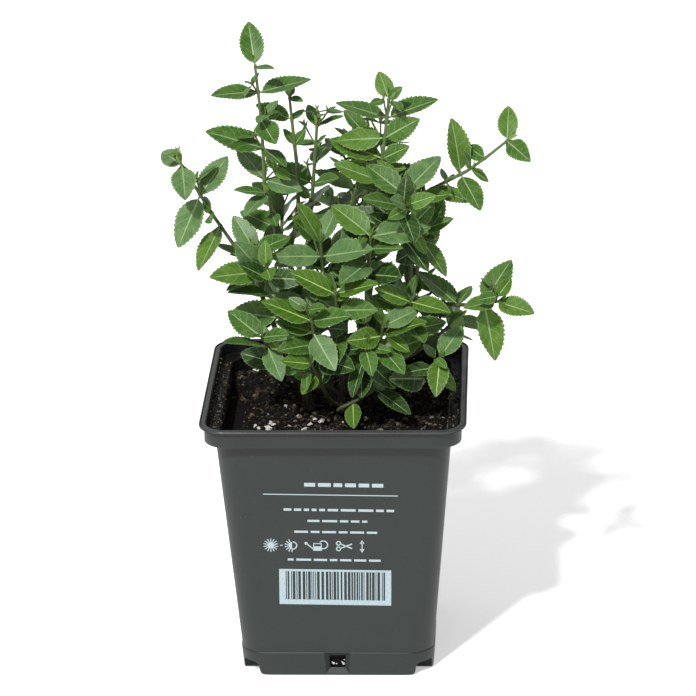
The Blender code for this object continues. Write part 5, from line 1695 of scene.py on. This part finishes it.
def make_soil():
    dice = random.Random(SOIL_SEED)
    looks = [
        ("damp_peat", "#050404", "#15110d", 1.6), ("brown_peat_crumbs", "#211a12", "#584c3c", 0.8),
        ("dark_peat_crumbs", "#080706", "#221c15", 0.8), ("pale_wood_crumbs", "#4a4234", "#8c8270", 0.8),
    ]
    damp, *loose = [material(name, damp_peat, *values) for name, *values in looks]
    soil = add_piece("peat_soil", soil_block(), [damp], sharp=50)
    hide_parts("soil")
    crumbs = [chip_form(0.5, 1, number) for number in range(5)]
    grains = [chip_form(0.8, 2, number + 9) for number in range(4)]
    half = body_half(SOIL_TOP) - WALL - 1.0
    strewn = bmesh.new()
    for _ in range(CRUMBS):
        x, y = soil_spot(half, dice)
        size = CRUMB_SIZE + CRUMB_MORE * dice.random() ** CRUMB_SKEW
        look = dice.choice(CRUMB_LOOKS)
        add_chip(strewn, dice.choice(crumbs), (x, y, surface(x, y) + size * 0.2), size, dice, look)
    for _ in range(WALL_SPECKS):
        form, spot = dice.choice(crumbs), wall_spot(dice)
        add_chip(strewn, form, spot, dice.uniform(*SPECK_SIZES), dice, dice.choice((0, 1, 2)))
    white = bmesh.new()
    spots = [(Vector((x, y, 0)), size) for x, y, size in PERLITE_SPOTS]
    while len(spots) < PERLITE:
        spots.append((Vector((*soil_spot(half, dice), 0)), dice.uniform(*PERLITE_SIZES)))
    for spot, size in spots:
        spot.z = surface(spot.x, spot.y) + size * 0.35
        add_chip(white, dice.choice(grains), spot, size, dice, 0)
    for _ in range(WINDOW_GRAINS):
        side = dice.randrange(4)
        spot = Vector((dice.uniform(-2.3, 2.3), WINDOW_DEPTH - body_half(0) + 0.1, dice.uniform(2.4, 5.0)))
        spot.rotate(Matrix.Rotation(side * math.pi / 2, 3, "Z"))
        add_chip(white, dice.choice(grains), spot, dice.uniform(*WINDOW_GRAIN_SIZES), dice, 0)
    fibres = bmesh.new()
    for _ in range(FIBRES):
        join(fibres, peat_fibre(half - 3, dice))
    perlite = material("expanded_perlite", puffed_perlite, "#dcd8cf", "#8d867a")
    fibre = material("dry_root_fibre", shoot_skin, "#6e6250", "#554b3b")
    pieces = [
        soil, add_piece("peat_crumbs", strewn, loose, sharp=35),
        add_piece("perlite_grains", white, [perlite], sharp=40),
        add_piece("peat_fibres", fibres, [fibre], sharp=60),
    ]


# Camera, light and floor


def make_camera():
    rise, turn, roll = (math.radians(angle) for angle in (CAMERA_RISE, CAMERA_TURN, CAMERA_ROLL))
    back = Vector((math.sin(turn) * math.cos(rise), -math.cos(turn) * math.cos(rise), math.sin(rise)))
    level = Vector((math.cos(turn), math.sin(turn), 0))
    upright = back.cross(level)
    right = level * math.cos(roll) + upright * math.sin(roll)
    up = upright * math.cos(roll) - level * math.sin(roll)
    data = bpy.data.cameras.new("camera")
    data.sensor_width = SENSOR
    data.lens = FOCUS / PHOTO_SIDE * SENSOR
    data.clip_start, data.clip_end = 0.05, 20
    camera = place_object("camera", data)
    camera.matrix_world = Matrix.Translation(EYE * MM) @ Matrix((right, up, back)).transposed().to_4x4()
    bpy.context.scene.camera = camera


def make_light():
    """A white studio all round, and one key light from above the camera and a little to the left."""
    world = bpy.data.worlds.new("white_studio")
    world.use_nodes = True
    feed(world.node_tree.nodes["Background"], {"Color": (1, 1, 1, 1), "Strength": STUDIO_LIGHT})
    bpy.context.scene.world = world
    data = bpy.data.lights.new("key", "SUN")
    data.energy = KEY_LIGHT
    data.angle = math.radians(KEY_SPREAD)
    key = place_object("key", data)
    key.rotation_mode = "QUATERNION"
    key.rotation_quaternion = Vector(KEY_FROM).to_track_quat("Z", "Y")
    bpy.context.scene.view_settings.view_transform = "Standard"


def make_floor():
    bm = bmesh.new()
    place = Matrix.Translation((0, 0, FLOOR_DROP))
    bmesh.ops.create_grid(bm, x_segments=1, y_segments=1, size=FLOOR_HALF, matrix=place)
    bmesh.ops.scale(bm, vec=(MM, MM, MM), verts=bm.verts)
    mesh = mesh_of("floor", bm)
    mesh.materials.append(material("matt_white_floor", matt_paper))
    place_object("floor", mesh)


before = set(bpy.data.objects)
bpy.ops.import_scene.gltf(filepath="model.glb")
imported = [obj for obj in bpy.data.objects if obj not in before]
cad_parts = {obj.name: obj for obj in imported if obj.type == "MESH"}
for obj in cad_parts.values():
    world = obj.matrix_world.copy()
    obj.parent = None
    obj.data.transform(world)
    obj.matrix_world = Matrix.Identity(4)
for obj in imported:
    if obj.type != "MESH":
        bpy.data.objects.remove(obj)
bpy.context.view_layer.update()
make_camera()
make_light()
make_floor()
make_pot()
make_print()
make_soil()
make_plant()
